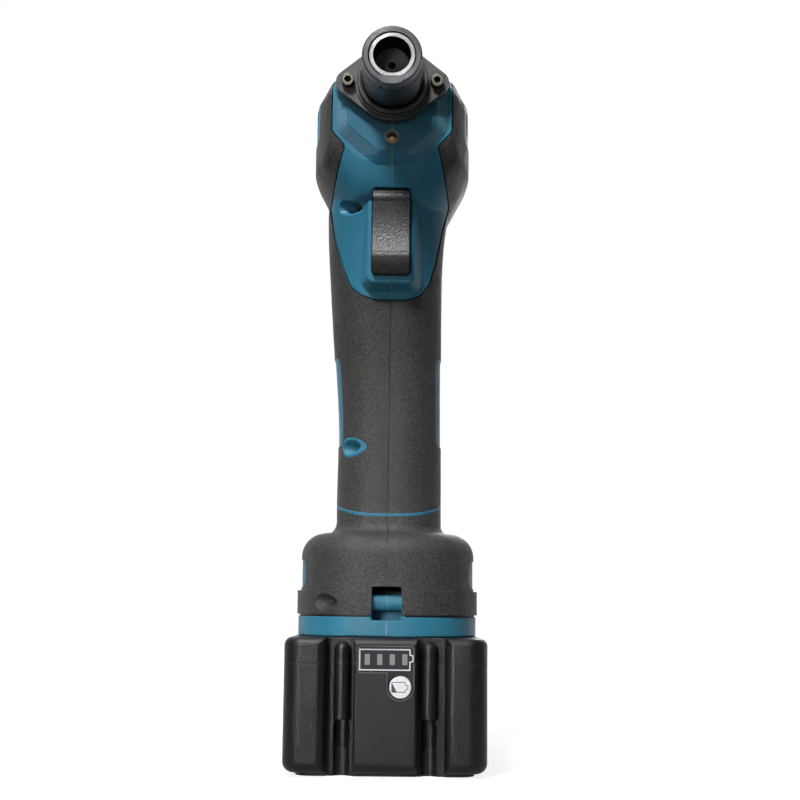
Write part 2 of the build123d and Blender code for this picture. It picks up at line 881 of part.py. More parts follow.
tip = -nose_tip
lip_end = tip + lip_length
clip_end = lip_end + clip_width
sleeve_back = collar_back - 9.0
slot_low = axis_z - collar_radius - 2
collar_blank = turned(
    [
        (tip, collar_hole),
        (tip, lip_radius - 0.5),
        (tip + 0.5, lip_radius),
        (lip_end, lip_radius),
        (lip_end, clip_inner),
        (clip_end, clip_inner),
        (clip_end, collar_radius),
        (collar_step, collar_radius),
        (collar_step, collar_shoulder),
        (collar_back, collar_shoulder),
        (collar_back, driver_radius + 0.5),
        (sleeve_back, driver_radius + 0.5),
        (sleeve_back, sleeve_radius + 0.02),
        (tip + 1.2, sleeve_radius + 0.02),
        (tip + 0.9, collar_hole),
    ]
)
magnet_slot = box(
    (-magnet_width / 2, magnet_width / 2),
    (tip - 1, tip + magnet_length),
    (slot_low, axis_z - magnet_drop),
)
nose_collar = trimmed(collar_blank, magnet_slot)
write(nose_collar, "nose_collar")

sleeve_blank = turned(
    [
        (tip + 0.1, bore_radius),
        (tip + 0.1, sleeve_radius - 0.3),
        (tip + 0.4, sleeve_radius),
        (sleeve_back, sleeve_radius),
        (sleeve_back, driver_radius + run_fit),
        (tip + bore_depth + 0.4, driver_radius + run_fit),
        (tip + bore_depth, bore_radius),
    ]
)
sleeve_flat = box(
    (-20, 20), (tip - 1, tip + magnet_length + 0.1), (slot_low, axis_z - magnet_drop + 0.02)
)
write(trimmed(sleeve_blank, sleeve_flat), "nail_sleeve")

magnet_blank = turned(
    [(tip + 0.1, 1), (tip + 0.1, lip_radius - 0.1), (tip + magnet_length - 0.02, lip_radius - 0.1),
     (tip + magnet_length - 0.02, 1)]
)
magnet_keep = box(
    (-magnet_width / 2 + 0.02, magnet_width / 2 - 0.02),
    (tip, tip + magnet_length),
    (slot_low, axis_z - magnet_drop),
)
write(common(magnet_blank, magnet_keep), "nose_magnet")

clip_ring = turned(
    [(lip_end + 0.05, clip_inner), (lip_end + 0.05, clip_outer), (clip_end - 0.05, clip_outer),
     (clip_end - 0.05, clip_inner)]
)
clip_opening = box((-4.4, 4.4), (tip, 0), (slot_low - 5, axis_z))
write(trimmed(clip_ring, clip_opening), "nose_clip")

# Driver, its bushing and bumper

face = tip + bore_depth + 0.1
driver = turned(
    [
        (face + 2.6, 0),
        (face + 1.5, 1.3),
        (face + 0.9, 2.0),
        (face + 0.9, 3.0),
        (face, driver_radius - 0.4),
        (face + 0.4, driver_radius),
        (driver_shoulder, driver_radius),
        (driver_shoulder, driver_head_radius),
        (driver_back, driver_head_radius),
        (driver_back, 0),
    ]
)
write(driver, "driver")

bushing_radius = driver_radius + 2.0
write(
    turned(
        [
            (web_front, driver_radius + run_fit),
            (web_front, bushing_radius),
            (bumper_front, bushing_radius),
            (bumper_front, driver_radius + run_fit),
        ]
    ),
    "driver_bushing",
)
write(
    turned(
        [
            (bumper_front, driver_radius + 0.4),
            (bumper_front, tube_bore),
            (driver_shoulder - 0.05, tube_bore),
            (driver_shoulder - 0.05, driver_radius + 0.4),
        ]
    ),
    "driver_bumper",
)

# Cast gear housing: nose chamber, hammer tube and crank cup

window_low = crank_top - 0.1
housing_blank = joined(
    eared(flange_radius - 0.5, flange_ear_radius - 0.5, flange_seat, -24),
    lengthwise(tube_radius, -26.0, tube_back),
    upright(cup_radius, cup_low, cup_top),
)
gear_housing = trimmed(
    housing_blank,
    lengthwise(collar_shoulder + 0.3, -60, web_front),
    lengthwise(bushing_radius + 0.02, -60, 0),
    lengthwise(tube_bore, bumper_front, 60),
    upright(cup_bore, cup_low - 1, crank_top),
    upright(crank_hub_radius + 2, cup_low - 1, crank_top + 0.6),
    box(
        (-crank_throw - roller_radius - 0.8, crank_throw + roller_radius + 0.8),
        (lug_front - 0.6, crank_throw + roller_radius + lug_thickness + 0.8),
        (window_low, axis_z),
    ),
    lengthwise(flange_screw_radius + 0.05, -60, -26.5, at=(flange_ear_offset, axis_z)),
    lengthwise(flange_screw_radius + 0.05, -60, -26.5, at=(-flange_ear_offset, axis_z)),
)
write(gear_housing, "gear_housing")

plug = turned(
    [(plug_face, 0), (plug_face, hammer_radius), (tube_back, hammer_radius), (tube_back, tube_radius),
     (plug_back, tube_radius), (plug_back, 0)]
)
write(plug, "end_plug")

# Hammer, with the lug that the crank roller lifts

hammer_blank = turned(
    [
        (hammer_front, 0),
        (hammer_front, hammer_radius - 1),
        (hammer_front + 1, hammer_radius),
        (hammer_back, hammer_radius),
        (hammer_back, hammer_bore),
        (hammer_back - hammer_bore_depth, hammer_bore),
        (hammer_back - hammer_bore_depth, 0),
    ]
)
lug = box((-lug_width, 0), (lug_front, lug_back), (roller_low + 0.3, axis_z - hammer_radius + 4))
write(joined(hammer_blank, lug), "hammer")


def coil(start, end, radius, wire, turns, place):
    """Square-wire spring along Y through the point place = (x, height)."""

    def spot(half_turns):
        angle = pi * half_turns
        along = start + wire / 2 + (end - start - wire) * half_turns / (2 * turns)
        return (place[0] + radius * cos(angle), along, place[1] + radius * sin(angle))

    with BuildPart() as solid:
        with BuildLine() as path:
            for step in range(2 * turns):
                ThreePointArc(spot(step), spot(step + 0.5), spot(step + 1))
        with BuildSketch(Plane(path.line @ 0, z_dir=path.line % 0)):
            Rectangle(wire, wire)
        sweep()
    return solid.part


main_spring = coil(hammer_back - hammer_bore_depth + 0.15, plug_face - 0.15, 7.5, 2.0, 5, (0, axis_z))
write(main_spring, "main_spring")
nose_spring = coil(collar_back + 0.15, web_front - 0.15, 9.4, 1.3, 3, (0, axis_z))
write(nose_spring, "nose_spring")

# Crank with its roller, and the crank bearing

planet_offset = tooth_module * (sun_teeth + planet_teeth) / 2
crank_pin_radius = 1.6
crank_blank = joined(
    upright(crank_hub_radius, crank_low, crank_top),
    upright(crank_pin_radius, crank_top - 1, roller_top + 0.2, at=(crank_throw, 0)),
)
pins = []
for turn in range(3):
    angle = radians(120 * turn)
    spot = (planet_offset * cos(angle), planet_offset * sin(angle))
    pins.append(upright(planet_pin_radius, planet_low, crank_low + 1, at=spot))
    pins.append(upright(planet_pin_radius + 1.4, planet_top + 0.1, crank_low + 1, at=spot))
write(joined(crank_blank, *pins), "crank")

roller = spun(
    [(crank_pin_radius + 0.03, roller_low), (roller_radius, roller_low), (roller_radius, roller_top),
     (crank_pin_radius + 0.03, roller_top)]
)
write(Pos(crank_throw, 0, 0) * roller, "lift_roller")


def bearing(inner, outer, low, width):
    """Ball bearing drawn as two races with a shield between them."""
    step = (outer - inner) * 0.28
    return spun(
        [
            (inner, low),
            (inner + step, low),
            (inner + step, low + 0.4),
            (outer - step, low + 0.4),
            (outer - step, low),
            (outer, low),
            (outer, low + width),
            (outer - step, low + width),
            (outer - step, low + width - 0.4),
            (inner + step, low + width - 0.4),
            (inner + step, low + width),
            (inner, low + width),
        ]
    )


crank_bearing = bearing(crank_hub_radius + 0.03, crank_bearing_radius, crank_low, crank_bearing_width)
write(crank_bearing, "crank_bearing")

# Planetary gear

pressure = radians(20)


def involute(angle):
    """Involute of a pressure angle."""
    return tan(angle) - angle


def gear_points(teeth, inner, outer, backlash):
    """Tooth outline of a gear from its root and tip radii."""
    pitch = tooth_module * teeth / 2
    base = pitch * cos(pressure)
    half = pi / (2 * teeth) - backlash / (2 * pitch)

    def half_angle(radius):
        rolled = 0.0
        if radius > base:
            rolled = involute(acos(base / radius))
        return half + involute(pressure) - rolled

    points = []
    for tooth in range(teeth):
        centre = 2 * pi * tooth / teeth
        for radius, side in ((inner, -1), (outer, -1), (outer, 1), (inner, 1)):
            angle = centre + side * half_angle(radius)
            points.append((radius * cos(angle), radius * sin(angle)))
    return points


def gear_solid(points, low, high):
    """Straight-toothed block from an outline."""
    with BuildPart() as solid:
        with BuildSketch(Plane.XY.offset(low)):
            with BuildLine():
                Polyline(*points, close=True)
            make_face()
        extrude(amount=high - low)
    return solid.part


def pitch_radius(teeth):
    """Pitch radius of a gear."""
    return tooth_module * teeth / 2


tip_rise = 0.8 * tooth_module
root_drop = 1.2 * tooth_module
sun_blank = gear_solid(
    gear_points(
        sun_teeth, pitch_radius(sun_teeth) - root_drop, pitch_radius(sun_teeth) + tip_rise, gear_backlash
    ),
    planet_low - 0.6,
    planet_top,
)
write(trimmed(sun_blank, upright(shaft_radius, 0, 300)), "sun_pinion")

planet_blank = trimmed(
    gear_solid(
        gear_points(
            planet_teeth,
            pitch_radius(planet_teeth) - root_drop,
            pitch_radius(planet_teeth) + tip_rise,
            gear_backlash,
        ),
        planet_low,
        planet_top,
    ),
    upright(planet_pin_radius + run_fit, 0, 300),
)
for turn in range(3):
    placed = Rot(0, 0, 120 * turn) * Pos(planet_offset, 0, 0) * Rot(0, 0, 180 / planet_teeth) * planet_blank
    write(placed, f"planet_gear_{turn + 1}")

ring_cut = gear_solid(
    gear_points(
        ring_teeth,
        pitch_radius(ring_teeth) - tip_rise,
        pitch_radius(ring_teeth) + root_drop,
        -gear_backlash,
    ),
    0,
    300,
)
ring_turn = Rot(0, 0, 180 / ring_teeth) * ring_cut
write(trimmed(upright(crank_bearing_radius, planet_low - 0.4, crank_low), ring_turn), "ring_gear")

gear_cover = trimmed(
    upright(cup_radius, cover_low, cup_low),
    upright(bearing_radius + 0.02, cup_low - bearing_width, cup_low + 1),
    upright(shaft_radius + 1.0, 0, 300),
)
write(gear_cover, "gear_cover")
bearing_sets = [
    ("gear_bearing", cup_low - bearing_width),
    ("motor_bearing_top", top_bearing_low),
    ("motor_bearing_low", low_bearing_low),
]
for label, low in bearing_sets:
    write(bearing(shaft_radius + 0.03, bearing_radius, low, bearing_width), label)

# Motor

write(upright(shaft_radius, shaft_low, planet_top - 0.2), "motor_shaft")
write(
    spun(
        [
            (shaft_radius, motor_z),
            (rotor_radius, motor_z),
            (rotor_radius, motor_top),
            (shaft_radius, motor_top),
        ]
    ),
    "rotor_core",
)

pole_face = rotor_radius + air_gap
yoke_inner = stator_radius - 2.6
with BuildPart() as stator:
    with BuildSketch(Plane.XY.offset(motor_z)):
        Circle(stator_radius)
        Circle(yoke_inner, mode=Mode.SUBTRACT)
        with PolarLocations((pole_face + yoke_inner + 0.6) / 2, 6):
            Rectangle(yoke_inner + 0.6 - pole_face, 4.0)
        with PolarLocations(pole_face + 0.5, 6):
            Rectangle(1.0, 7.0)
        Circle(pole_face, mode=Mode.SUBTRACT)
    extrude(amount=stator_length)
write(stator.part, "stator")

coil_inner = pole_face + 1.2
with BuildPart() as coil_set:
    with BuildSketch(Plane.XY.offset(motor_z - coil_reach)):
        with PolarLocations((coil_inner + yoke_inner - 0.9) / 2, 6):
            Rectangle(yoke_inner - 0.9 - coil_inner, 8.4)
    extrude(amount=stator_length + 2 * coil_reach)
    with BuildSketch(Plane.XY.offset(motor_z)):
        with PolarLocations((coil_inner + yoke_inner) / 2, 6):
            Rectangle(yoke_inner - coil_inner + 2, 4.1)
    extrude(amount=stator_length, mode=Mode.SUBTRACT)
write(coil_set.part, "motor_coils")

fan_hub = 4.4
with BuildPart() as fan:
    with BuildSketch(Plane.XY.offset(fan_low)):
        Circle(fan_radius)
    extrude(amount=1.2)
    with BuildSketch(Plane.XY.offset(fan_low)):
        Circle(fan_hub)
    extrude(amount=fan_top - fan_low)
    with BuildSketch(Plane.XY.offset(fan_low)):
        with PolarLocations((fan_hub + fan_radius) / 2, 9):
            Rectangle(fan_radius - fan_hub - 0.6, 1.2)
    extrude(amount=fan_top - fan_low - 0.4)
    with BuildSketch(Plane.XY.offset(fan_low)):
        Circle(shaft_radius)
    extrude(amount=fan_top - fan_low, mode=Mode.SUBTRACT)
write(fan.part, "cooling_fan")

# Trigger, its spring and the switch

trigger_top = trigger_z + trigger_height
with BuildPart() as trigger:
    with BuildSketch(Plane.YZ.offset(-trigger_width / 2)):
        with BuildLine():
            Line((trigger_back, trigger_z), (trigger_face + 4.4, trigger_z))
            ThreePointArc(
                (trigger_face + 4.4, trigger_z),
                (trigger_face - 0.4, trigger_z + 1.9),
                (trigger_face - 2.5, trigger_z + 5.4),
            )
            ThreePointArc(
                (trigger_face - 2.5, trigger_z + 5.4),
                (trigger_face - 2.7, trigger_z + 7.0),
                (trigger_face - 1.9, trigger_z + 8.4),
            )
            ThreePointArc(
                (trigger_face - 1.9, trigger_z + 8.4),
                (trigger_face + 0.2, trigger_mid + 2.0),
                (trigger_face - 0.9, trigger_top - 5.2),
            )
            ThreePointArc(
                (trigger_face - 0.9, trigger_top - 5.2),
                (trigger_face - 1.6, trigger_top - 3.5),
                (trigger_face - 0.7, trigger_top - 1.8),
            )
            ThreePointArc(
                (trigger_face - 0.7, trigger_top - 1.8),
                (trigger_face + 0.9, trigger_top - 0.4),
                (trigger_face + 3.2, trigger_top),
            )
            Line((trigger_face + 3.2, trigger_top), (trigger_back, trigger_top))
            Line((trigger_back, trigger_top), (trigger_back, trigger_z))
        make_face()
    extrude(amount=trigger_width)
    add(
        front_slot((0, trigger_mid), (trigger_width, trigger_height), trigger_corner, -60, 0),
        mode=Mode.INTERSECT,
    )
    add(
        box(
            (-trigger_width / 2 - 2, trigger_width / 2 + 2),
            (trigger_lip, trigger_back),
            (trigger_z + 3.0, trigger_top - 11.0),
        )
    )
    add(lengthwise(plunger_radius, trigger_back - 0.5, trigger_back + plunger_length, at=(0, trigger_mid)))
    screw_y, screw_z = body_screws[0][:2]
    add(
        box(
            (-20, 20),
            (screw_y - screw_radius - trigger_travel - 0.3, trigger_back + 1),
            (screw_z - screw_radius - 0.7, screw_z + screw_radius + 0.7),
        ),
        mode=Mode.SUBTRACT,
    )
write(trigger.part, "trigger")

trigger_spring = coil(
    trigger_back + 0.05, switch_front - 0.05, plunger_radius + 1.0, 0.8, 3, (0, trigger_mid)
)
write(trigger_spring, "trigger_spring")

switch_low = trigger_mid - switch_height / 2
with BuildPart() as switch:
    add(
        box(
            (-switch_width / 2, switch_width / 2),
            (switch_front, switch_back),
            (switch_low, switch_low + switch_height),
        )
    )
    fillet(switch.edges().filter_by(Axis.Y), radius=1.5)
    add(
        lengthwise(plunger_radius + free_fit, switch_front - 1, switch_back - 1.2, at=(0, trigger_mid)),
        mode=Mode.SUBTRACT,
    )
write(switch.part, "switch")

# Lamp and its board

lamp_front = flange_seat - 0.6
with BuildPart() as lamp:
    add(lengthwise(lamp_radius, lamp_front, -32.4, at=(0, lamp_z)))
    fillet(lamp.edges().group_by(Axis.Y)[0], radius=1.0)
write(lamp.part, "lamp_lens")
write(lengthwise(4.2, -32.4, -31.0, at=(0, lamp_z)), "lamp_board")

# Controller board on the floor of the base

board_low = floor_top + 0.1
with BuildPart() as board:
    add(box((-24, 24), (block_back + 2.0, 34), (board_low, board_low + 1.6)))
    add(box((-20, -6), (2, 30), (board_low + 1, board_low + 8)))
    for x, y in ((6, 4), (6, 16), (17, 4), (17, 16)):
        add(upright(4.6, board_low + 1, board_low + 11, at=(x, y)))
    add(box((2, 22), (24, 32), (board_low + 1, board_low + 5)))
write(board.part, "controller_board")

# Terminal block with its blades

with BuildPart() as block:
    add(box((-block_width / 2, block_width / 2), (block_front, block_back), (floor_low, floor_top + 0.8)))
    add(
        box(
            (-block_width / 2 - 2, block_width / 2 + 2),
            (block_front - 1.5, block_back + 1.5),
            (floor_top + 0.05, floor_top + 3.0),
        )
    )
    for side in (-1, 1):
        add(
            box(
                (side * blade_offset - blade_thickness / 2, side * blade_offset + blade_thickness / 2),
                (blade_front, blade_back),
                (0, 200),
            ),
            mode=Mode.SUBTRACT,
        )
write(block.part, "terminal_block")
with BuildPart() as blades:
    for side in (-1, 1):
        add(
            box(
                (side * blade_offset - blade_thickness / 2, side * blade_offset + blade_thickness / 2),
                (blade_front, blade_back),
                (blade_low, floor_top + 4.5),
            )
        )
write(blades.part, "terminal_blades")

# Battery, lower half

pack_back = pack_length - pack_front
pack_mid = (pack_back - pack_front) / 2
well_half = cell_length / 2 + 0.8
well_front = -pack_front + channel_depth + 4.0
cells_mid = well_front + 0.3 + cell_pitch * (cells_per_row - 1) / 2 + cell_radius
well_back = cells_mid + cell_pitch * (cells_per_row - 1) / 2 + cell_radius + 0.3
cell_low = foot_height + pack_wall + 0.2 + cell_radius
cell_high = cell_low + 2 * cell_radius + 0.2


def pack_block(low, high, inset=0.0):
    """Slab with the plan outline of the battery."""
    with BuildPart() as solid:
        with BuildSketch(Plane.XY.offset(low)):
            with Locations((0, pack_mid)):
                RectangleRounded(pack_width - 2 * inset, pack_length - 2 * inset, pack_corner - inset)
        extrude(amount=high - low)
    return solid.part


ridge_y = -pack_front + 5.8
block_round = 1.1         # rounded edges of the gauge block and of the corner posts
post_round = 3.4


def channel(side):
    """Upright channel in the gauge end, with rounded edges at its mouth."""
    front = -pack_front
    back = front + channel_depth
    lean = sin(radians(45))
    near = channel_inner - block_round
    far = channel_outer + post_round
    corner = front + block_round
    post = front + post_round
    with BuildPart() as solid:
        with BuildSketch(Plane.XY.offset(-1)):
            with BuildLine():
                Line((side * channel_inner, back), (side * channel_inner, corner))
                ThreePointArc(
                    (side * channel_inner, corner),
                    (side * (near + block_round * lean), corner - block_round * lean),
                    (side * near, front),
                )
                Line((side * near, front), (side * near, front - 4))
                Line((side * near, front - 4), (side * far, front - 4))
                Line((side * far, front - 4), (side * far, front))
                ThreePointArc(
                    (side * far, front),
                    (side * (far - post_round * lean), post - post_round * lean),
                    (side * channel_outer, post),
                )
                Line((side * channel_outer, post), (side * channel_outer, back))
                Line((side * channel_outer, back), (side * channel_inner, back))
            make_face()
        extrude(amount=pack_height + 2)
    return solid.part


def ball(radius, place):
    """Ball at a point."""
    with BuildPart() as solid:
        with Locations(place):
            Sphere(radius)
    return solid.part


channels = []
ridges = []
screw_pockets = []
ridge_top = pack_height - 1.6 - ridge_radius
pack_screw_y = ridge_y + 1.6
pack_screw_top = 23.0
for side in (-1, 1):
    x = side * ridge_offset
    channels.append(channel(side))
    ridges.append(upright(ridge_radius, pocket_height, ridge_top, at=(x, ridge_y)))
    ridges.append(ball(ridge_radius, (x, ridge_y, ridge_top)))
    screw_pockets.append(upright(3.2, -1, pocket_height - 3.2, at=(x, ridge_y)))
    screw_pockets.append(ball(3.2, (x, ridge_y, pocket_height - 3.2)))
    screw_pockets.append(upright(2.6, 10, pack_screw_top, at=(x, pack_screw_y)))
    screw_pockets.append(upright(3.0, -1, 8, at=(side * 31.0, pack_back - 4.4)))
pack_screws = [(s * ridge_offset, pack_screw_y, pack_screw_top) for s in (-1, 1)]
pack_screws += [(s * 31.0, pack_back - 4.4, 8.0) for s in (-1, 1)]
screw_holes = [upright(1.25, z - 1, pack_height - 3.5, at=(x, y)) for x, y, z in pack_screws]

well = box(
    (-well_half, well_half), (well_front, well_back), (foot_height + pack_wall, pack_height - pack_wall)
)
gauge_low = pack_height - 12.7
gauge_top = pack_height - 2.9
gauge_lobe = (5.4, pack_height - 17.7)


def gauge_outline(near, far, grow=0.0):
    """Gauge panel block: a bar with a round lobe under its right half."""
    with BuildPart() as solid:
        with BuildSketch(Plane.XZ.offset(-near)) as outline:
            with Locations((0.1, (gauge_low + gauge_top) / 2)):
                RectangleRounded(20.6, gauge_top - gauge_low, 1.2)
            with Locations(gauge_lobe):
                Circle(lobe_radius)
            with Locations((gauge_lobe[0], gauge_low)):
                Rectangle(2 * lobe_radius, 2 * (gauge_low - gauge_lobe[1]))
            if grow:
                offset(amount=grow)
        extrude(amount=near - far)
    return solid.part


gauge_room = gauge_outline(-pack_front - 5, -pack_front + gauge_thickness, grow=0.05)
button_room = lengthwise(check_radius + free_fit, -pack_front - 5, -pack_front + 4.4, at=gauge_lobe)

release_y = pack_back - 5.8
release_room = [
    box(
        (-release_width / 2 - 0.4, release_width / 2 + 0.4),
        (release_y - 0.4, 90),
        (release_low - 5.2, release_high + 0.5),
    ),
    upright(3.4, release_low - spring_room, release_low, at=(0, release_y + 2.0)),
    box(
        (-hook_width / 2 - 0.4, hook_width / 2 + 0.4),
        (hook_front - 0.4, release_y + 2),
        (hook_low - hook_travel - 0.4, hook_low + 2.4),
    ),
    box(
        (-hook_width / 2 - 0.4, hook_width / 2 + 0.4),
        (hook_front - 0.4, hook_front + 4.0),
        (hook_low, 90),
    ),
]

with BuildPart() as lower_blank:
    add(pack_block(foot_height, pack_height))
    fillet(lower_blank.edges().group_by(Axis.Z)[0], radius=3.8)
    fillet(lower_blank.edges().group_by(Axis.Z)[-1], radius=3.0)
    with BuildSketch(Plane.XY):
        with Locations((0, pack_mid)):
            RectangleRounded(foot_width, pack_length - 12, 6)
    extrude(amount=foot_height + 0.2)
pack_body = joined(trimmed(lower_blank.part, *channels), *ridges)
pack_cuts = [well, gauge_room, button_room] + screw_pockets + screw_holes + release_room
lower_keep = box((-60, 60), (-70, 90), (-5, pack_seam - 0.1))
upper_keep = box((-60, 60), (-70, 90), (pack_seam, 120))
pack_shell = trimmed(pack_body, *pack_cuts)
write(common(pack_shell, lower_keep), "pack_lower")

# Battery, upper half with the rails

rail_back = rail_length - rail_front
rail_blank = joined(
    box((-rail_neck / 2, rail_neck / 2), (-rail_front, rail_back), (pack_height - 0.5, rail_top)),
    box(
        (-rail_head / 2, rail_head / 2), (-rail_front, rail_back), (pack_height + rail_neck_rise, rail_top)
    ),
)
slots = []
for side in (-1, 1):
    slots.append(
        box(
            (side * blade_offset - slot_width / 2, side * blade_offset + slot_width / 2),
            (-rail_front - 1, blade_back + 3),
            (pack_height - pack_wall - 0.5, rail_top + 1),
        )
    )
with BuildPart() as upper:
    add(common(pack_shell, upper_keep))
    add(rail_blank)
    add(slots + release_room[2:], mode=Mode.SUBTRACT)
write(upper.part, "pack_upper")

with BuildPart() as contacts:
    for side in (-1, 1):
        for leaf in (-1, 1):
            inner = side * blade_offset + leaf * (blade_thickness / 2 + 0.25)
            outer = inner + leaf * 0.6
            add(
                box(
                    tuple(sorted((inner, outer))),
                    (blade_front + 2, blade_back + 1),
                    (contact_low, rail_top - 1.5),
                )
            )
        foot_half = blade_thickness / 2 + 0.8
        add(
            box(
                (side * blade_offset - foot_half, side * blade_offset + foot_half),
                (blade_front + 2, blade_back + 1),
                (contact_low, contact_low + 0.8),
            )
        )
write(contacts.part, "pack_contacts")

pack_board_low = cell_high + cell_radius + 0.2
write(
    box((-26, 26), (well_front + 2, well_back - 16), (pack_board_low, pack_board_low + 1.6)), "pack_board"
)

with BuildPart() as cells:
    for row in range(cells_per_row):
        y = cells_mid + cell_pitch * (row - (cells_per_row - 1) / 2)
        for z in (cell_low, cell_high):
            add(crosswise(cell_radius, -cell_length / 2, cell_length / 2, (y, z)))
write(cells.part, "pack_cells")

with BuildPart() as pack_screw_set:
    for x, y, z in pack_screws:
        add(upright(2.4, z - 2.0, z, at=(x, y)))
        add(upright(1.2, z, pack_height - 4.0, at=(x, y)))
write(pack_screw_set.part, "pack_screws")

# Gauge panel, check button and release button

gauge = trimmed(
    gauge_outline(-pack_front - 0.2, -pack_front + gauge_thickness),
    lengthwise(check_radius + free_fit, -90, 0, at=gauge_lobe),
)
write(gauge, "gauge_panel")
with BuildPart() as check:
    add(lengthwise(check_radius, -pack_front - 0.5, -pack_front + 3.4, at=gauge_lobe))
    fillet(check.edges().group_by(Axis.Y)[0], radius=0.4)
write(check.part, "check_button")

with BuildPart() as release:
    add(
        box(
            (-release_width / 2, release_width / 2),
            (release_y, pack_back - 0.8),
            (release_low, release_high),
        )
    )
    add(
        box(
            (-hook_width / 2, hook_width / 2),
            (hook_front, release_y + 1),
            (hook_low, hook_low + 2.0),
        )
    )
    add(box((-hook_width / 2, hook_width / 2), (hook_front, hook_front + 3.6), (hook_low, rail_top + 1.8)))
    add(
        box(
            (-hook_width / 2, hook_width / 2),
            (release_y, release_y + 2),
            (release_high - 1, hook_low + 2.0),
        )
    )
    with BuildSketch(Plane.YZ.offset(-release_width / 2 + 2)):
        with Locations((pack_back + 4.0, (release_low + release_high) / 2)):
            Circle(7.5)
    extrude(amount=release_width - 4, mode=Mode.SUBTRACT)
write(release.part, "release_button")

release_spring = coil(release_low - spring_room + 0.1, release_low - 0.05, 2.3, 0.8, 4, (0, 0))
standing = Pos(0, release_y + 2.0, 0) * Rot(90, 0, 0) * release_spring
write(standing, "release_spring")
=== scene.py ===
import json
import math

import bmesh
import bpy
from bpy.props import FloatProperty, FloatVectorProperty, PointerProperty
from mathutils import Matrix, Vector

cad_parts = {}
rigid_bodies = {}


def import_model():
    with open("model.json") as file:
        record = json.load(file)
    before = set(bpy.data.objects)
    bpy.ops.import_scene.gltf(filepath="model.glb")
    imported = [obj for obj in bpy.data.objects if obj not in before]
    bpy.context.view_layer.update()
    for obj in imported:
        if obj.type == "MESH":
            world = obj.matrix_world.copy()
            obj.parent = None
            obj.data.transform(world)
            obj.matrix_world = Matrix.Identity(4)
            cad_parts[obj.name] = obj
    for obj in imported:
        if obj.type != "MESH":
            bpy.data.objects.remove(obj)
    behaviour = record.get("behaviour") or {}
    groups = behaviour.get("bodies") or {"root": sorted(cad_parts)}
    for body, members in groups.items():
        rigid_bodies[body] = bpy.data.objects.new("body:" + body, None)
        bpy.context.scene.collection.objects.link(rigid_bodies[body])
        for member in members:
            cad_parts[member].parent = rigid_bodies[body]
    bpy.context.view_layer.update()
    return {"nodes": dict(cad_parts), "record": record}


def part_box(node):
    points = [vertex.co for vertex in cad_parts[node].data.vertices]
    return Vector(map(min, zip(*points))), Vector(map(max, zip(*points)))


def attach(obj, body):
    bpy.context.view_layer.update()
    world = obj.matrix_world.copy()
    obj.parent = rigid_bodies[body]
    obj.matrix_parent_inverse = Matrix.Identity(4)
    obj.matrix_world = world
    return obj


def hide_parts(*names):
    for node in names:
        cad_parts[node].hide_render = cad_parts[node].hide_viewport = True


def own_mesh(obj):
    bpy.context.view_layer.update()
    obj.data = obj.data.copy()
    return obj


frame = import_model()

bl_info = {
    "name": "Palm Nailer Dressing",
    "version": (1, 0, 0),
    "blender": (4, 5, 0),
    "location": "View3D > Sidebar > Nailer",
    "description": "Finishes the palm nailer's CAD parts and adds printing, fittings and a stage",
    "category": "Object",
}

MM = 0.001
SLOTS = {part["node"]: part["material_slot"] for part in frame["record"]["subparts"]}
panel_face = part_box("gauge_panel")[0].y
release_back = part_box("release_button")[1].y
sleeve_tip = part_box("nail_sleeve")[0].y
screw_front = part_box("flange_screws")[0].y
button_low, button_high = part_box("check_button")
lens_low, lens_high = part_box("lamp_lens")
collar_low, collar_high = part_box("nose_collar")
NAIL_AXIS = (collar_low.z + collar_high.z) / 2
NAIL_CENTRE = (0, 0, NAIL_AXIS)
LAMP = Vector((0, lens_low.y, (lens_low.z + lens_high.z) / 2))
BUTTON = Vector(
    ((button_low.x + button_high.x) / 2, button_low.y, (button_low.z + button_high.z) / 2)
)


def tint(name, description, default):
    """Colour property with the usual limits."""
    return FloatVectorProperty(
        name=name, description=description, subtype="COLOR", size=3, min=0, max=1, default=default
    )


def length(name, description, low, high, default):
    """Length property in metres."""
    return FloatProperty(
        name=name,
        description=description,
        subtype="DISTANCE",
        unit="LENGTH",
        min=low,
        max=high,
        default=default,
    )


def angle(name, description, limit, degrees):
    """Angle property, limited both ways in radians, with its default in degrees."""
    return FloatProperty(
        name=name,
        description=description,
        subtype="ANGLE",
        unit="ROTATION",
        min=-limit,
        max=limit,
        default=math.radians(degrees),
    )


def power(name, description, default):
    """Lamp power in watts."""
    return FloatProperty(
        name=name,
        description=description,
        subtype="POWER",
        unit="POWER",
        min=0,
        max=500,
        default=default,
    )


class NailerFinish(bpy.types.PropertyGroup):
    """Colours of the nailer's main materials."""

    blue: tint("Body Blue", "Hard plastic of the body halves", (0.026, 0.158, 0.245))
    rubber: tint("Cover Rubber", "Soft covers on the grip, head and base", (0.034, 0.034, 0.033))
    pack: tint("Battery Black", "Spark-textured plastic of the battery", (0.0042, 0.0040, 0.0050))
    trigger: tint("Trigger Grey", "Grained plastic of the trigger", (0.042, 0.042, 0.043))
    collar: tint("Collar Steel", "Sliding collar of the nose", (0.13, 0.13, 0.14))
    flange: tint("Flange Steel", "Two-eared plate that holds the nose", (0.085, 0.085, 0.088))
    grain: length("Grain", "Size of the moulded grain", 0.0001, 0.003, 0.0008)


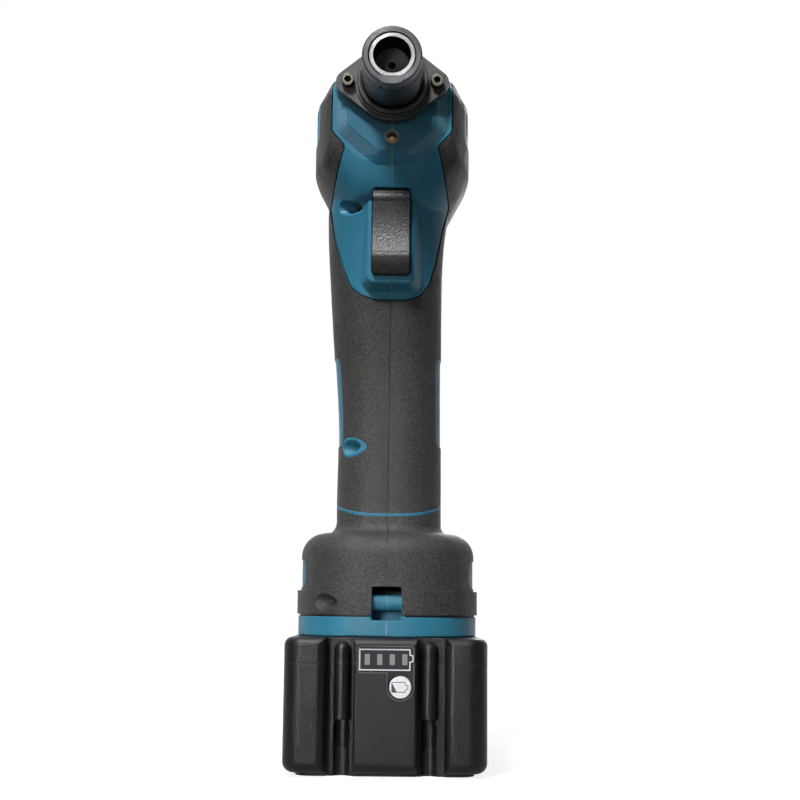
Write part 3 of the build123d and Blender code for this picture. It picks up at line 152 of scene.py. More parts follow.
class NailerPrint(bpy.types.PropertyGroup):
    """Sizes and colours of the battery's gauge printing."""

    white: tint("Print White", "Gauge outline on the panel", (0.62, 0.62, 0.64))
    grey: tint("Bar Grey", "Unlit gauge bars", (0.19, 0.19, 0.20))
    # The rim grey is painted highlight and wear on the panel's edge, laid on as a thin sheet.
    rim: tint("Rim Grey", "Worn edge of the gauge panel", (0.085, 0.085, 0.090))
    dark: tint("Print Dark", "Sign on the check button", (0.045, 0.045, 0.050))
    line: length("Line Width", "Width of the printed gauge outline", 0.0002, 0.002, 0.00042)
    relief: length("Relief", "Height of the printing above the panel", 0.00002, 0.0005, 0.00012)


class NailerStage(bpy.types.PropertyGroup):
    """Camera and lamps."""

    distance: length(
        "Camera Distance", "Distance from the camera to the motor axis", 0.2, 5.0, 0.590
    )
    height: length("Camera Height", "Height of the camera above the floor", 0.0, 2.0, 0.063)
    side: length(
        "Camera Side", "Distance of the camera to the right of the nail axis", -1.0, 1.0, 0.0050
    )
    tilt: angle("Camera Tilt", "Angle by which the camera looks up", 1.5, 7.86)
    roll: angle("Camera Roll", "Tilt of the camera about its view", 0.5, -0.6)
    focal: FloatProperty(
        name="Focal Length",
        description="Focal length on a 36 mm sensor",
        subtype="DISTANCE_CAMERA",
        unit="CAMERA",
        min=10,
        max=300,
        default=65.9,
    )
    key: power("Key Lamp", "Power of the high lamp at the front left", 0.85)
    front: power("Front Lamp", "Power of the lamp in front", 1.0)
    low: power("Low Lamp", "Power of the narrow lamp that lights the base", 0.045)
    fill: power("Fill Lamp", "Power of the lamp on the right", 0.35)
    top: power("Top Lamp", "Power of the lamp overhead", 3.0)
    back: power("Back Lamp", "Power of the lamp behind", 4.0)
    ambient: FloatProperty(
        name="Ambient",
        description="Strength of the even light all round",
        min=0,
        max=2,
        default=0.08,
    )


class Finish:
    """One material, whose node graph is built up step by step."""

    # Sockets of the Mix node when it mixes colours
    MIX_FACTOR, MIX_FIRST, MIX_SECOND, MIX_RESULT = 0, 6, 7, 2
    # Scale of a wave texture whose rings are one metre apart
    RING_SCALE = 0.314

    def __init__(self, name):
        self.material = bpy.data.materials.new(name)
        self.material.use_nodes = True
        self.nodes = self.material.node_tree.nodes
        self.links = self.material.node_tree.links
        self.nodes.clear()
        self.output = self.nodes.new("ShaderNodeOutputMaterial")
        self.shader = self.nodes.new("ShaderNodeBsdfPrincipled")
        self.links.new(self.shader.outputs["BSDF"], self.output.inputs["Surface"])
        self.place = self.nodes.new("ShaderNodeTexCoord").outputs["Object"]
        self.normal = None

    def set(self, **values):
        """Uniform values, set on the shader's own sockets."""
        for name, value in values.items():
            socket = name.replace("_", " ").title().replace("Ior", "IOR")
            self.shader.inputs[socket].default_value = value
        return self

    def mapped(self, centre, scale=(1, 1, 1)):
        """Object coordinates about a centre, stretched."""
        node = self.nodes.new("ShaderNodeMapping")
        node.vector_type = "POINT"
        node.inputs["Location"].default_value = [-c * s for c, s in zip(centre, scale)]
        node.inputs["Scale"].default_value = scale
        self.links.new(self.place, node.inputs["Vector"])
        return node.outputs["Vector"]

    def noise(self, size, detail=2.0):
        """Noise whose features have about that size, in metres."""
        node = self.nodes.new("ShaderNodeTexNoise")
        node.inputs["Scale"].default_value = 1.0 / size
        node.inputs["Detail"].default_value = detail
        self.links.new(self.place, node.inputs["Vector"])
        return node.outputs["Fac"]

    def cells(self, size):
        """Distance inside cells of about that size."""
        node = self.nodes.new("ShaderNodeTexVoronoi")
        node.inputs["Scale"].default_value = 1.0 / size
        self.links.new(self.place, node.inputs["Vector"])
        return node.outputs["Distance"]

    def rings(self, size, axis, centre):
        """Fine turning marks round an axis."""
        node = self.nodes.new("ShaderNodeTexWave")
        node.wave_type = "RINGS"
        node.rings_direction = axis
        node.inputs["Scale"].default_value = self.RING_SCALE / size
        node.inputs["Distortion"].default_value = 0.6
        node.inputs["Detail"].default_value = 2.0
        self.links.new(self.mapped(centre), node.inputs["Vector"])
        return node.outputs["Fac"]

    def distance(self, vector):
        """Length of a vector."""
        node = self.nodes.new("ShaderNodeVectorMath")
        node.operation = "LENGTH"
        self.links.new(vector, node.inputs[0])
        return node.outputs["Value"]

    def ramp(self, source, low, high, dark, light):
        """Colour that runs from dark to light as source goes from low to high."""
        node = self.nodes.new("ShaderNodeValToRGB")
        first, last = node.color_ramp.elements
        first.position, last.position = low, high
        first.color = (*dark, 1)
        last.color = (*light, 1)
        self.links.new(source, node.inputs["Fac"])
        return node.outputs["Color"]

    def spread(self, source, low, high, start=0.0, end=1.0):
        """Number that runs from low to high as source goes from start to end."""
        node = self.nodes.new("ShaderNodeMapRange")
        limits = {"From Min": start, "From Max": end, "To Min": low, "To Max": high}
        for name, value in limits.items():
            node.inputs[name].default_value = value
        self.links.new(source, node.inputs["Value"])
        return node.outputs["Result"]

    def maths(self, operation, first, second):
        """One sum on two values, each a socket or a number."""
        node = self.nodes.new("ShaderNodeMath")
        node.operation = operation
        for socket, value in zip(node.inputs, (first, second)):
            if isinstance(value, (int, float)):
                socket.default_value = value
            else:
                self.links.new(value, socket)
        return node.outputs["Value"]

    def all_of(self, *tests):
        """1 where every test holds, and 0 elsewhere; a test is (operation, coordinate, limit)."""
        result = 1.0
        for test in tests:
            result = self.maths("MULTIPLY", self.maths(*test), result)
        return result

    def worn_edges(self, radius):
        """Rounds the shading of edges, and gives 0 on the flat to 1 on an edge."""
        bevel = self.nodes.new("ShaderNodeBevel")
        bevel.samples = 6
        bevel.inputs["Radius"].default_value = radius
        flat = self.nodes.new("ShaderNodeNewGeometry")
        turn = self.nodes.new("ShaderNodeVectorMath")
        turn.operation = "DOT_PRODUCT"
        self.normal = bevel.outputs["Normal"]
        self.links.new(self.normal, turn.inputs[0])
        self.links.new(flat.outputs["Normal"], turn.inputs[1])
        self.links.new(self.normal, self.shader.inputs["Normal"])
        return self.spread(turn.outputs["Value"], 1.0, 0.0, 0.72, 0.99)

    def blend(self, factor, first, second):
        """Two colours mixed by a factor."""
        node = self.nodes.new("ShaderNodeMix")
        node.data_type = "RGBA"
        places = (self.MIX_FACTOR, self.MIX_FIRST, self.MIX_SECOND)
        for index, value in zip(places, (factor, first, second)):
            if isinstance(value, tuple):
                node.inputs[index].default_value = value
            else:
                self.links.new(value, node.inputs[index])
        return node.outputs[self.MIX_RESULT]

    def axes(self):
        """The three Object coordinates as numbers."""
        node = self.nodes.new("ShaderNodeSeparateXYZ")
        self.links.new(self.place, node.inputs["Vector"])
        return node.outputs

    def colour(self, source):
        """Base colour from a socket."""
        self.links.new(source, self.shader.inputs["Base Color"])
        return self

    def rough(self, source):
        """Roughness from a socket."""
        self.links.new(source, self.shader.inputs["Roughness"])
        return self

    def bump(self, source, depth):
        """Relief of a depth in metres, laid over any relief before it."""
        node = self.nodes.new("ShaderNodeBump")
        node.inputs["Distance"].default_value = depth
        node.inputs["Strength"].default_value = 1.0
        self.links.new(source, node.inputs["Height"])
        if self.normal is not None:
            self.links.new(self.normal, node.inputs["Normal"])
        self.normal = node.outputs["Normal"]
        self.links.new(self.normal, self.shader.inputs["Normal"])
        return self


def shade(colour, amount):
    """A colour made darker or lighter."""
    return tuple(min(1.0, c * amount) for c in colour)


def moulded(name, colour, roughness, grain, depth, mottle=0.12, wear=1.35, gloss=0.3, fleck=0.2):
    """Grained plastic or rubber: fine moulded texture, faint handling marks, and edges painted
    paler, partly as wear and partly as painted highlight.
    """
    edge, cloud_size, smear_size = 0.35 * MM, 18 * MM, 6 * MM
    made = Finish(name).set(specular_ior_level=gloss)
    edge_wear_and_highlight = made.worn_edges(edge)
    cloud = made.noise(cloud_size, 3.0)
    fine = made.noise(grain, 2.5)
    base = made.ramp(cloud, 0.3, 0.7, shade(colour, 1 - mottle), shade(colour, 1 + mottle))
    pale = shade(colour, 1 + 1.6 * fleck)
    speck = made.ramp(fine, 0.38, 0.66, shade(colour, 1 - fleck), pale)
    skin = made.blend(made.spread(cloud, 0.55, 0.85), base, speck)
    # Paler edges: partly wear, partly painted highlight.
    made.colour(made.blend(edge_wear_and_highlight, skin, (*shade(colour, wear), 1)))
    smear = made.noise(smear_size, 4.0)
    made.rough(made.spread(smear, roughness - 0.07, roughness + 0.07, 0.3, 0.7))
    made.bump(fine, depth)
    return made


def turned_metal(name, colour, roughness, axis="Y", centre=NAIL_CENTRE):
    """Machined metal with turning marks round an axis and slight stains."""
    mark, depth, stain_size = 0.25 * MM, 0.012 * MM, 7 * MM
    made = Finish(name).set(metallic=1.0)
    marks = made.rings(mark, axis, centre)
    stain = made.noise(stain_size, 4.0)
    made.colour(made.ramp(stain, 0.3, 0.75, shade(colour, 0.82), shade(colour, 1.12)))
    uneven = made.spread(marks, roughness - 0.06, roughness + 0.08)
    made.rough(made.maths("ADD", uneven, made.spread(stain, -0.04, 0.06)))
    made.bump(marks, depth)
    return made


def plain_metal(name, colour, roughness, grain=0.4 * MM, depth=0.02 * MM, metallic=1.0):
    """Cast, blackened or drawn metal with a fine uneven surface."""
    stain_size = 6 * MM
    made = Finish(name).set(metallic=metallic)
    fine = made.noise(grain, 3.0)
    stain = made.noise(stain_size, 4.0)
    made.colour(made.ramp(stain, 0.3, 0.72, shade(colour, 0.78), shade(colour, 1.18)))
    made.rough(made.spread(fine, roughness - 0.08, roughness + 0.10, 0.3, 0.7))
    made.bump(fine, depth)
    return made


def body_blue(colour, grain):
    """Hard blue plastic: facets beside the front boss coloured lighter with painted highlight and
    glints, the boss darkened as painted shade, edges painted paler as wear and highlight, and a
    pale parting line.
    """
    edge, cloud_size, smear_size, stipple_size = 0.8 * MM, 20 * MM, 6 * MM, 0.48 * MM
    boss_back, boss_low = -38.8 * MM, NAIL_AXIS - 27 * MM
    facet_front, facet_back = -38.7 * MM, -36.1 * MM
    facet_low, facet_high, facet_side = NAIL_AXIS - 27.4 * MM, NAIL_AXIS - 2 * MM, 5 * MM
    parting_half = 0.28 * MM
    made = Finish("body blue plastic").set(specular_ior_level=0.30)
    edge_wear_and_highlight = made.worn_edges(edge)
    x, y, z = made.axes()
    side = made.maths("ABSOLUTE", x, 0.0)
    cloud = made.noise(cloud_size, 3.0)
    fine = made.noise(grain, 2.5)
    base = made.ramp(cloud, 0.3, 0.7, shade(colour, 0.92), shade(colour, 1.08))
    # Painted shade: the front boss under the flange is coloured darker.
    boss = made.all_of(("LESS_THAN", y, boss_back), ("GREATER_THAN", z, boss_low))
    base = made.blend(boss, base, (*shade(colour, 0.80), 1))
    # Painted highlight: the stippled facets are coloured lighter, with painted glints, for the
    # light they catch.
    stipple = made.cells(stipple_size)
    painted_glint = made.ramp(stipple, 0.05, 0.6, (0.16, 0.29, 0.37), (0.055, 0.170, 0.240))
    facet = made.all_of(
        ("LESS_THAN", y, facet_back),
        ("GREATER_THAN", y, facet_front),
        ("GREATER_THAN", z, facet_low),
        ("LESS_THAN", z, facet_high),
        ("GREATER_THAN", side, facet_side),
    )
    skin = made.blend(facet, base, painted_glint)
    # Painted highlight: edges coloured twice as light, partly standing for wear too.
    skin = made.blend(made.spread(edge_wear_and_highlight, 0.0, 0.7), skin, (*shade(colour, 2.0), 1))
    parting = made.maths("LESS_THAN", side, parting_half)
    made.colour(made.blend(parting, skin, (0.15, 0.27, 0.34, 1)))
    made.rough(made.spread(made.noise(smear_size, 4.0), 0.38, 0.50, 0.3, 0.7))
    made.bump(fine, 0.05 * MM)
    made.bump(made.maths("MULTIPLY", stipple, facet), 0.20 * MM)
    return made


def struck_steel(colour):
    """Driver of the nose: turned dish with a painted highlight on the rim round its centre hole,
    and painted shade darkening the hole.
    """
    hole, rim_edge = 1.15 * MM, 2.1 * MM
    made = Finish("driver steel").set(metallic=1.0)
    radius = made.distance(made.mapped(NAIL_CENTRE, (1, 0, 1)))
    marks = made.rings(0.4 * MM, "Y", NAIL_CENTRE)
    stain = made.noise(2.5 * MM, 4.0)
    base = made.ramp(stain, 0.3, 0.72, shade(colour, 0.75), shade(colour, 1.2))
    # Painted highlight: the rim round the hole is coloured bright for the light it catches.
    rim = made.all_of(("GREATER_THAN", radius, hole), ("LESS_THAN", radius, rim_edge))
    skin = made.blend(made.maths("MULTIPLY", rim, 0.8), base, (0.40, 0.38, 0.36, 1))
    # Painted shade: the centre hole is coloured near black.
    dark = made.maths("LESS_THAN", radius, hole)
    made.colour(made.blend(dark, skin, (0.006, 0.006, 0.006, 1)))
    made.rough(made.spread(marks, 0.42, 0.58))
    made.bump(marks, 0.02 * MM)
    return made


def sleeve_steel():
    """Sleeve of the nose: ground bright at its tip, with painted shade darkening its bore."""
    ground = 0.7 * MM
    made = Finish("sleeve steel").set(metallic=1.0)
    marks = made.rings(0.25 * MM, "Y", NAIL_CENTRE)
    stain = made.noise(4 * MM, 4.0)
    bright = made.ramp(stain, 0.3, 0.7, (0.60, 0.60, 0.60), (0.76, 0.76, 0.76))
    # Painted shade: the bore is coloured near black for the shade inside it.
    bore_painted_shade = made.ramp(stain, 0.3, 0.7, (0.012, 0.011, 0.010), (0.035, 0.032, 0.030))
    tip = made.maths("LESS_THAN", made.axes()["Y"], sleeve_tip + ground)
    made.colour(made.blend(tip, bore_painted_shade, bright))
    made.rough(made.maths("ADD", made.spread(tip, 0.42, 0.30), made.spread(marks, -0.04, 0.06)))
    made.bump(marks, 0.012 * MM)
    return made


def plated_screw():
    """Screws of the flange: plated round the rim of the head, painted dark as shade in the socket
    and on the head's sides.
    """
    plated = 0.5 * MM
    made = Finish("plated screw").set(metallic=1.0)
    fine = made.noise(0.3 * MM, 3.0)
    rim = made.ramp(fine, 0.3, 0.7, (0.25, 0.23, 0.19), (0.33, 0.31, 0.26))
    front = made.maths("LESS_THAN", made.axes()["Y"], screw_front + plated)
    # Painted shade: behind the plated front, the socket and the head's sides are coloured near
    # black.
    made.colour(made.blend(front, (0.020, 0.018, 0.015, 1), rim))
    made.rough(made.spread(fine, 0.26, 0.42))
    made.bump(fine, 0.004 * MM)
    return made


def lamp_reflector():
    """Reflector behind the lamp's lens: painted shade makes it dark above; warm below."""
    fade = 0.4 * MM
    made = Finish("lamp cup")
    level = made.spread(made.axes()["Z"], 0.0, 1.0, LAMP.z - fade, LAMP.z + fade)
    uneven = made.noise(0.6 * MM, 3.0)
    warm = made.ramp(uneven, 0.3, 0.7, (0.36, 0.27, 0.16), (0.52, 0.41, 0.27))
    # Painted shade: the upper half is coloured near black, as the shade under the nose.
    made.colour(made.blend(level, warm, (0.008, 0.007, 0.006, 1)))
    made.rough(made.spread(uneven, 0.30, 0.45))
    made.bump(uneven, 0.02 * MM)
    return made


def clear_lens():
    """Clear lamp lens, slightly warm and unevenly polished."""
    made = Finish("lamp lens").set(transmission_weight=1.0, ior=1.47)
    ripple = made.noise(1.2 * MM, 2.0)
    made.colour(made.ramp(ripple, 0.3, 0.7, (0.93, 0.92, 0.88), (1.0, 0.99, 0.96)))
    made.rough(made.spread(ripple, 0.02, 0.07))
    made.bump(ripple, 0.01 * MM)
    return made


def make_finishes(colours):
    """Every finish, by the material slot that has it, or by the node that has its own."""
    grain = colours.grain
    panel = shade(colours.pack, 2.6)
    made = {
        "body_blue": body_blue(colours.blue, grain * 0.6),
        "cover_rubber": moulded(
            "cover rubber", colours.rubber, 0.54, grain * 0.9, 0.26 * MM, gloss=0.34, fleck=0.6
        ),
        "seal_rubber": moulded("seal rubber", (0.012, 0.012, 0.012), 0.5, grain, 0.03 * MM),
        "pack_plastic": moulded(
            "battery plastic",
            colours.pack,
            0.40,
            grain * 0.6,
            0.10 * MM,
            mottle=0.06,
            wear=2.0,
            gloss=0.40,
            fleck=0.9,
        ),
        "trigger_plastic": moulded(
            "trigger plastic", colours.trigger, 0.40, grain * 0.9, 0.30 * MM, gloss=0.6, fleck=0.6
        ),
        "panel_plastic": moulded(
            "gauge panel", panel, 0.46, grain * 0.5, 0.06 * MM, 0.06, 2.0, fleck=0.6
        ),
        "black_plastic": moulded("black plastic", (0.012, 0.012, 0.013), 0.5, grain, 0.04 * MM),
        "white_plastic": moulded(
            "check button", (0.72, 0.72, 0.73), 0.45, grain, 0.005 * MM, 0.03, fleck=0.04
        ),
        "dark_steel": plain_metal("flange steel", colours.flange, 0.50, 0.5 * MM, 0.04 * MM, 0.75),
        "collar_steel": turned_metal("collar steel", colours.collar, 0.40),
        "bright_steel": sleeve_steel(),
        "screw_steel": plain_metal("screw steel", (0.16, 0.155, 0.15), 0.34),
        "spring_steel": plain_metal("spring steel", (0.38, 0.38, 0.40), 0.34),
        "steel": turned_metal("machined steel", (0.52, 0.53, 0.55), 0.32, "Z", (0, 0, 0)),
        "cast_alloy": plain_metal("cast alloy", (0.58, 0.59, 0.60), 0.50, 0.9 * MM, 0.08 * MM),
        "bronze": plain_metal("bronze", (0.62, 0.40, 0.17), 0.34),
        "copper": plain_metal("enamelled copper", (0.58, 0.21, 0.09), 0.30, 0.6 * MM, 0.12 * MM),
        "board": moulded("circuit board", (0.020, 0.120, 0.060), 0.34, grain * 3, 0.03 * MM, 0.2),
        "cell_metal": moulded("cell sleeve", (0.05, 0.22, 0.20), 0.35, grain, 0.01 * MM, 0.1),
        "lens": clear_lens(),
        "driver": struck_steel((0.105, 0.097, 0.090)),
        "body_screws": plain_metal("blackened screw", (0.035, 0.035, 0.036), 0.42),
        "flange_screws": plated_screw(),
    }
    return {name: finish.material for name, finish in made.items()}


def printed(name, colour):
    """Printing ink, slightly broken where the panel's grain shows through."""
    made = Finish(name)
    speck = made.noise(0.25 * MM, 2.0)
    made.colour(made.ramp(speck, 0.32, 0.55, shade(colour, 0.86), shade(colour, 1.05)))
    made.rough(made.spread(speck, 0.42, 0.60))
    made.bump(speck, 0.01 * MM)
    return made.material


def like(node):
    """The material slot and the finish of a CAD node."""
    return SLOTS[node], frame["nodes"][node].data.materials[0]


def deselect():
    """Leaves edit mode and selects nothing."""
    if bpy.context.object and bpy.context.object.mode != "OBJECT":
        bpy.ops.object.mode_set(mode="OBJECT")
    bpy.ops.object.select_all(action="DESELECT")


def edit(obj):
    """Goes into edit mode on one object."""
    deselect()
    bpy.context.view_layer.objects.active = obj
    obj.select_set(True)
    bpy.ops.object.mode_set(mode="EDIT")


def apply_place():
    """Applies place, turn and scale of the selected object to its mesh, and gives the object."""
    bpy.ops.object.transform_apply(location=True, rotation=True, scale=True)
    return bpy.context.object


def copy_of(node, name, merge=0.002 * MM):
    """Copy of a CAD node with its close vertices merged, left in edit mode."""
    copy = bpy.data.objects.new(name, frame["nodes"][node].data.copy())
    bpy.context.scene.collection.objects.link(copy)
    edit(copy)
    bpy.ops.mesh.select_all(action="SELECT")
    bpy.ops.mesh.remove_doubles(threshold=merge)
    return copy


def pick(obj, kind, test):
    """Selects the faces, edges or vertices of the object in edit mode that pass a test."""
    bpy.ops.mesh.select_mode(type=kind)
    bpy.ops.mesh.select_all(action="DESELECT")
    mesh = bmesh.from_edit_mesh(obj.data)
    for item in {"FACE": mesh.faces, "EDGE": mesh.edges, "VERT": mesh.verts}[kind]:
        if test(item):
            item.select_set(True)
    bmesh.update_edit_mesh(obj.data)


def thicken(x=0.0, y=0.0, z=0.0):
    """Extrudes all of the sheet in edit mode by a step, which closes it."""
    bpy.ops.mesh.select_all(action="SELECT")
    bpy.ops.mesh.extrude_region_move(TRANSFORM_OT_translate={"value": (x, y, z)})


def finish_piece(obj, name, body, slot, material):
    """Names a closed piece, applies its place, and sets its material and body; the slot is not
    used.
    """
    edit(obj)
    bpy.ops.mesh.select_all(action="SELECT")
    bpy.ops.mesh.normals_make_consistent(inside=False)
    if any(len(edge.link_faces) != 2 for edge in bmesh.from_edit_mesh(obj.data).edges):
        raise RuntimeError(f"{name} isn't closed")
    deselect()
    obj.name = name
    obj.data.name = name
    obj.select_set(True)
    bpy.context.view_layer.objects.active = obj
    apply_place()
    obj.data.materials.clear()
    obj.data.materials.append(material)
    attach(obj, body)
    deselect()
    return obj


def front_sheet(left, right, low, high, y):
    """Flat sheet that faces the nose side, left in edit mode."""
    deselect()
    middle = ((left + right) / 2, y, (low + high) / 2)
    bpy.ops.mesh.primitive_plane_add(size=1, location=middle, rotation=(math.pi / 2, 0, 0))
    bpy.context.object.scale = (right - left, high - low, 1)
    sheet = apply_place()
    edit(sheet)
    return sheet


def round_corners(obj, radius, along="y"):
    """Rounds the edges of the object in edit mode that run along an axis."""
    others = [axis for axis in "xyz" if axis != along]
    near = 0.0001 * MM

    def runs(edge):
        first, second = (vert.co for vert in edge.verts)
        return all(abs(getattr(first, axis) - getattr(second, axis)) < near for axis in others)

    pick(obj, "EDGE", runs)
    bpy.ops.mesh.bevel(offset=radius, segments=4, affect="EDGES")


def cell_outline(left, right, low, high, terminal, line, y, relief, corner):
    """Raised outline of a battery cell, with a terminal on its right end.

    The terminal is (low, high, reach, taper)."""
    piece = front_sheet(left, right, low, high, y)
    foot, head, reach, taper = terminal
    near = 0.001 * MM
    for level in (foot, head):
        bpy.ops.mesh.select_all(action="SELECT")
        bpy.ops.mesh.bisect(plane_co=(0, y, level), plane_no=(0, 0, 1))

    def end_middle(edge):
        heights = sorted(vert.co.z for vert in edge.verts)
        at_end = all(abs(vert.co.x - right) < near for vert in edge.verts)
        return at_end and abs(heights[0] - foot) < near and abs(heights[1] - head) < near

    pick(piece, "EDGE", end_middle)
    bpy.ops.mesh.extrude_region_move(TRANSFORM_OT_translate={"value": (reach, 0, 0)})
    tip = (right + reach, y, (foot + head) / 2)
    bpy.ops.transform.resize(value=(1, 1, taper), center_override=tip)
    bpy.ops.mesh.select_mode(type="FACE")
    bpy.ops.mesh.select_all(action="SELECT")
    bpy.ops.mesh.dissolve_faces()
    bpy.ops.mesh.inset(thickness=line)
    bpy.ops.mesh.delete(type="FACE")
    thicken(y=-relief)
    if corner:
        round_corners(piece, corner)
    deselect()
    return piece


def repeat(piece, steps):
    """Copies a piece by each step, each copy with its own mesh, and joins them into one."""
    copies = [piece]
    for step in steps:
        deselect()
        piece.select_set(True)
        bpy.context.view_layer.objects.active = piece
        bpy.ops.object.duplicate(linked=False)
        bpy.ops.transform.translate(value=step)
        copies.append(bpy.context.object)
    deselect()
    for copy in copies:
        copy.select_set(True)
    bpy.context.view_layer.objects.active = piece
    bpy.ops.object.join()
    deselect()
    return piece


class NAILER_OT_finish_parts(bpy.types.Operator):
    """Gives every CAD node the finish of its material slot, or its own"""

    bl_idname = "nailer.finish_parts"
    bl_label = "Finish CAD Parts"

    def execute(self, context):
        finishes = make_finishes(context.scene.nailer_finish)
        for node, obj in frame["nodes"].items():
            obj.data.materials.clear()
            obj.data.materials.append(finishes.get(node, finishes[SLOTS[node]]))
        return {"FINISHED"}


class NAILER_OT_gauge_print(bpy.types.Operator):
    """Prints the charge gauge on the panel: a battery outline with four bars in it"""

    bl_idname = "nailer.gauge_print"
    bl_label = "Print Gauge"

    def execute(self, context):
        left, right, low, high = -9.66 * MM, 9.04 * MM, 38.3 * MM, 46.05 * MM
        terminal = (41.2 * MM, 44.1 * MM, 1.09 * MM, 0.82)
        bar_left, bar_right, bar_low, bar_high = -7.65 * MM, -5.75 * MM, 40.3 * MM, 44.2 * MM
        bar_pitch, corner, bar_corner = 4.553 * MM, 0.15 * MM, 0.25 * MM
        sizes = context.scene.nailer_print
        outline = cell_outline(
            left, right, low, high, terminal, sizes.line, panel_face, sizes.relief, corner
        )
        white = printed("gauge white", sizes.white)
        finish_piece(outline, "gauge_outline", "battery", "white_plastic", white)
        bar = front_sheet(bar_left, bar_right, bar_low, bar_high, panel_face)
        thicken(y=-sizes.relief)
        round_corners(bar, bar_corner)
        bars = repeat(bar, [(step * bar_pitch, 0, 0) for step in (1, 2, 3)])
        grey = printed("gauge grey", sizes.grey)
        finish_piece(bars, "gauge_bars", "battery", "white_plastic", grey)
        return {"FINISHED"}


class NAILER_OT_panel_rim(bpy.types.Operator):
    """Adds the pale rim round the gauge panel and its button lobe: painted highlight and wear on
    the panel's edge
    """

    bl_idname = "nailer.panel_rim"
    bl_label = "Add Panel Rim"

    def execute(self, context):
        sizes = context.scene.nailer_print
        hole = (button_high.x - button_low.x) / 2 + 1.0 * MM
        rim = copy_of("gauge_panel", "panel_rim")
        front = panel_face + 0.01 * MM
        pick(rim, "FACE", lambda face: any(vert.co.y > front for vert in face.verts))
        bpy.ops.mesh.delete(type="FACE")

        def outside(edge):
            ends = [Vector((v.co.x - BUTTON.x, v.co.z - BUTTON.z)).length for v in edge.verts]
            return len(edge.link_faces) == 1 and max(ends) > hole

        pick(rim, "EDGE", outside)
        bpy.ops.mesh.select_all(action="INVERT")
        bpy.ops.mesh.delete(type="EDGE")
        bpy.ops.mesh.select_all(action="SELECT")
        bpy.ops.mesh.edge_face_add()
        bpy.ops.mesh.select_mode(type="FACE")
        bpy.ops.mesh.select_all(action="SELECT")
        bpy.ops.mesh.inset(thickness=0.7 * sizes.line)
        bpy.ops.mesh.delete(type="FACE")
        thicken(y=-0.5 * sizes.relief)
        # The rim uses a printing-ink finish, but it stands for painted highlight and wear, not
        # print.
        finish_piece(rim, "panel_rim", "battery", "white_plastic", printed("panel rim", sizes.rim))
        return {"FINISHED"}


class NAILER_OT_button_print(bpy.types.Operator):
    """Prints the battery sign on the check button: an outline with a filled corner"""

    bl_idname = "nailer.button_print"
    bl_label = "Print Check Button"

    def execute(self, context):
        low, high = BUTTON.z - 1.8 * MM, BUTTON.z + 1.95 * MM
        left, right = BUTTON.x - 3.2 * MM, BUTTON.x + 1.9 * MM
        terminal = (BUTTON.z - 1.0 * MM, BUTTON.z + 1.1 * MM, 1.0 * MM, 0.55)
        corner_width, face = 2.1 * MM, BUTTON.y
        sizes = context.scene.nailer_print
        dark = printed("button dark", sizes.dark)
        outline = cell_outline(
            left, right, low, high, terminal, 0.6 * sizes.line, face, sizes.relief, 0.0
        )
        finish_piece(outline, "check_outline", "check", "black_plastic", dark)
        corner = front_sheet(left, left + corner_width, low, high, face)

        def upper_right(vert):
            return vert.co.x > left + corner_width / 2 and vert.co.z > BUTTON.z

        pick(corner, "VERT", upper_right)
        bpy.ops.transform.translate(value=(-corner_width, 0, 0))
        bpy.ops.mesh.select_all(action="SELECT")
        bpy.ops.mesh.remove_doubles(threshold=0.02 * MM)
        thicken(y=-1.1 * sizes.relief)
        finish_piece(corner, "check_corner", "check", "black_plastic", dark)
        return {"FINISHED"}


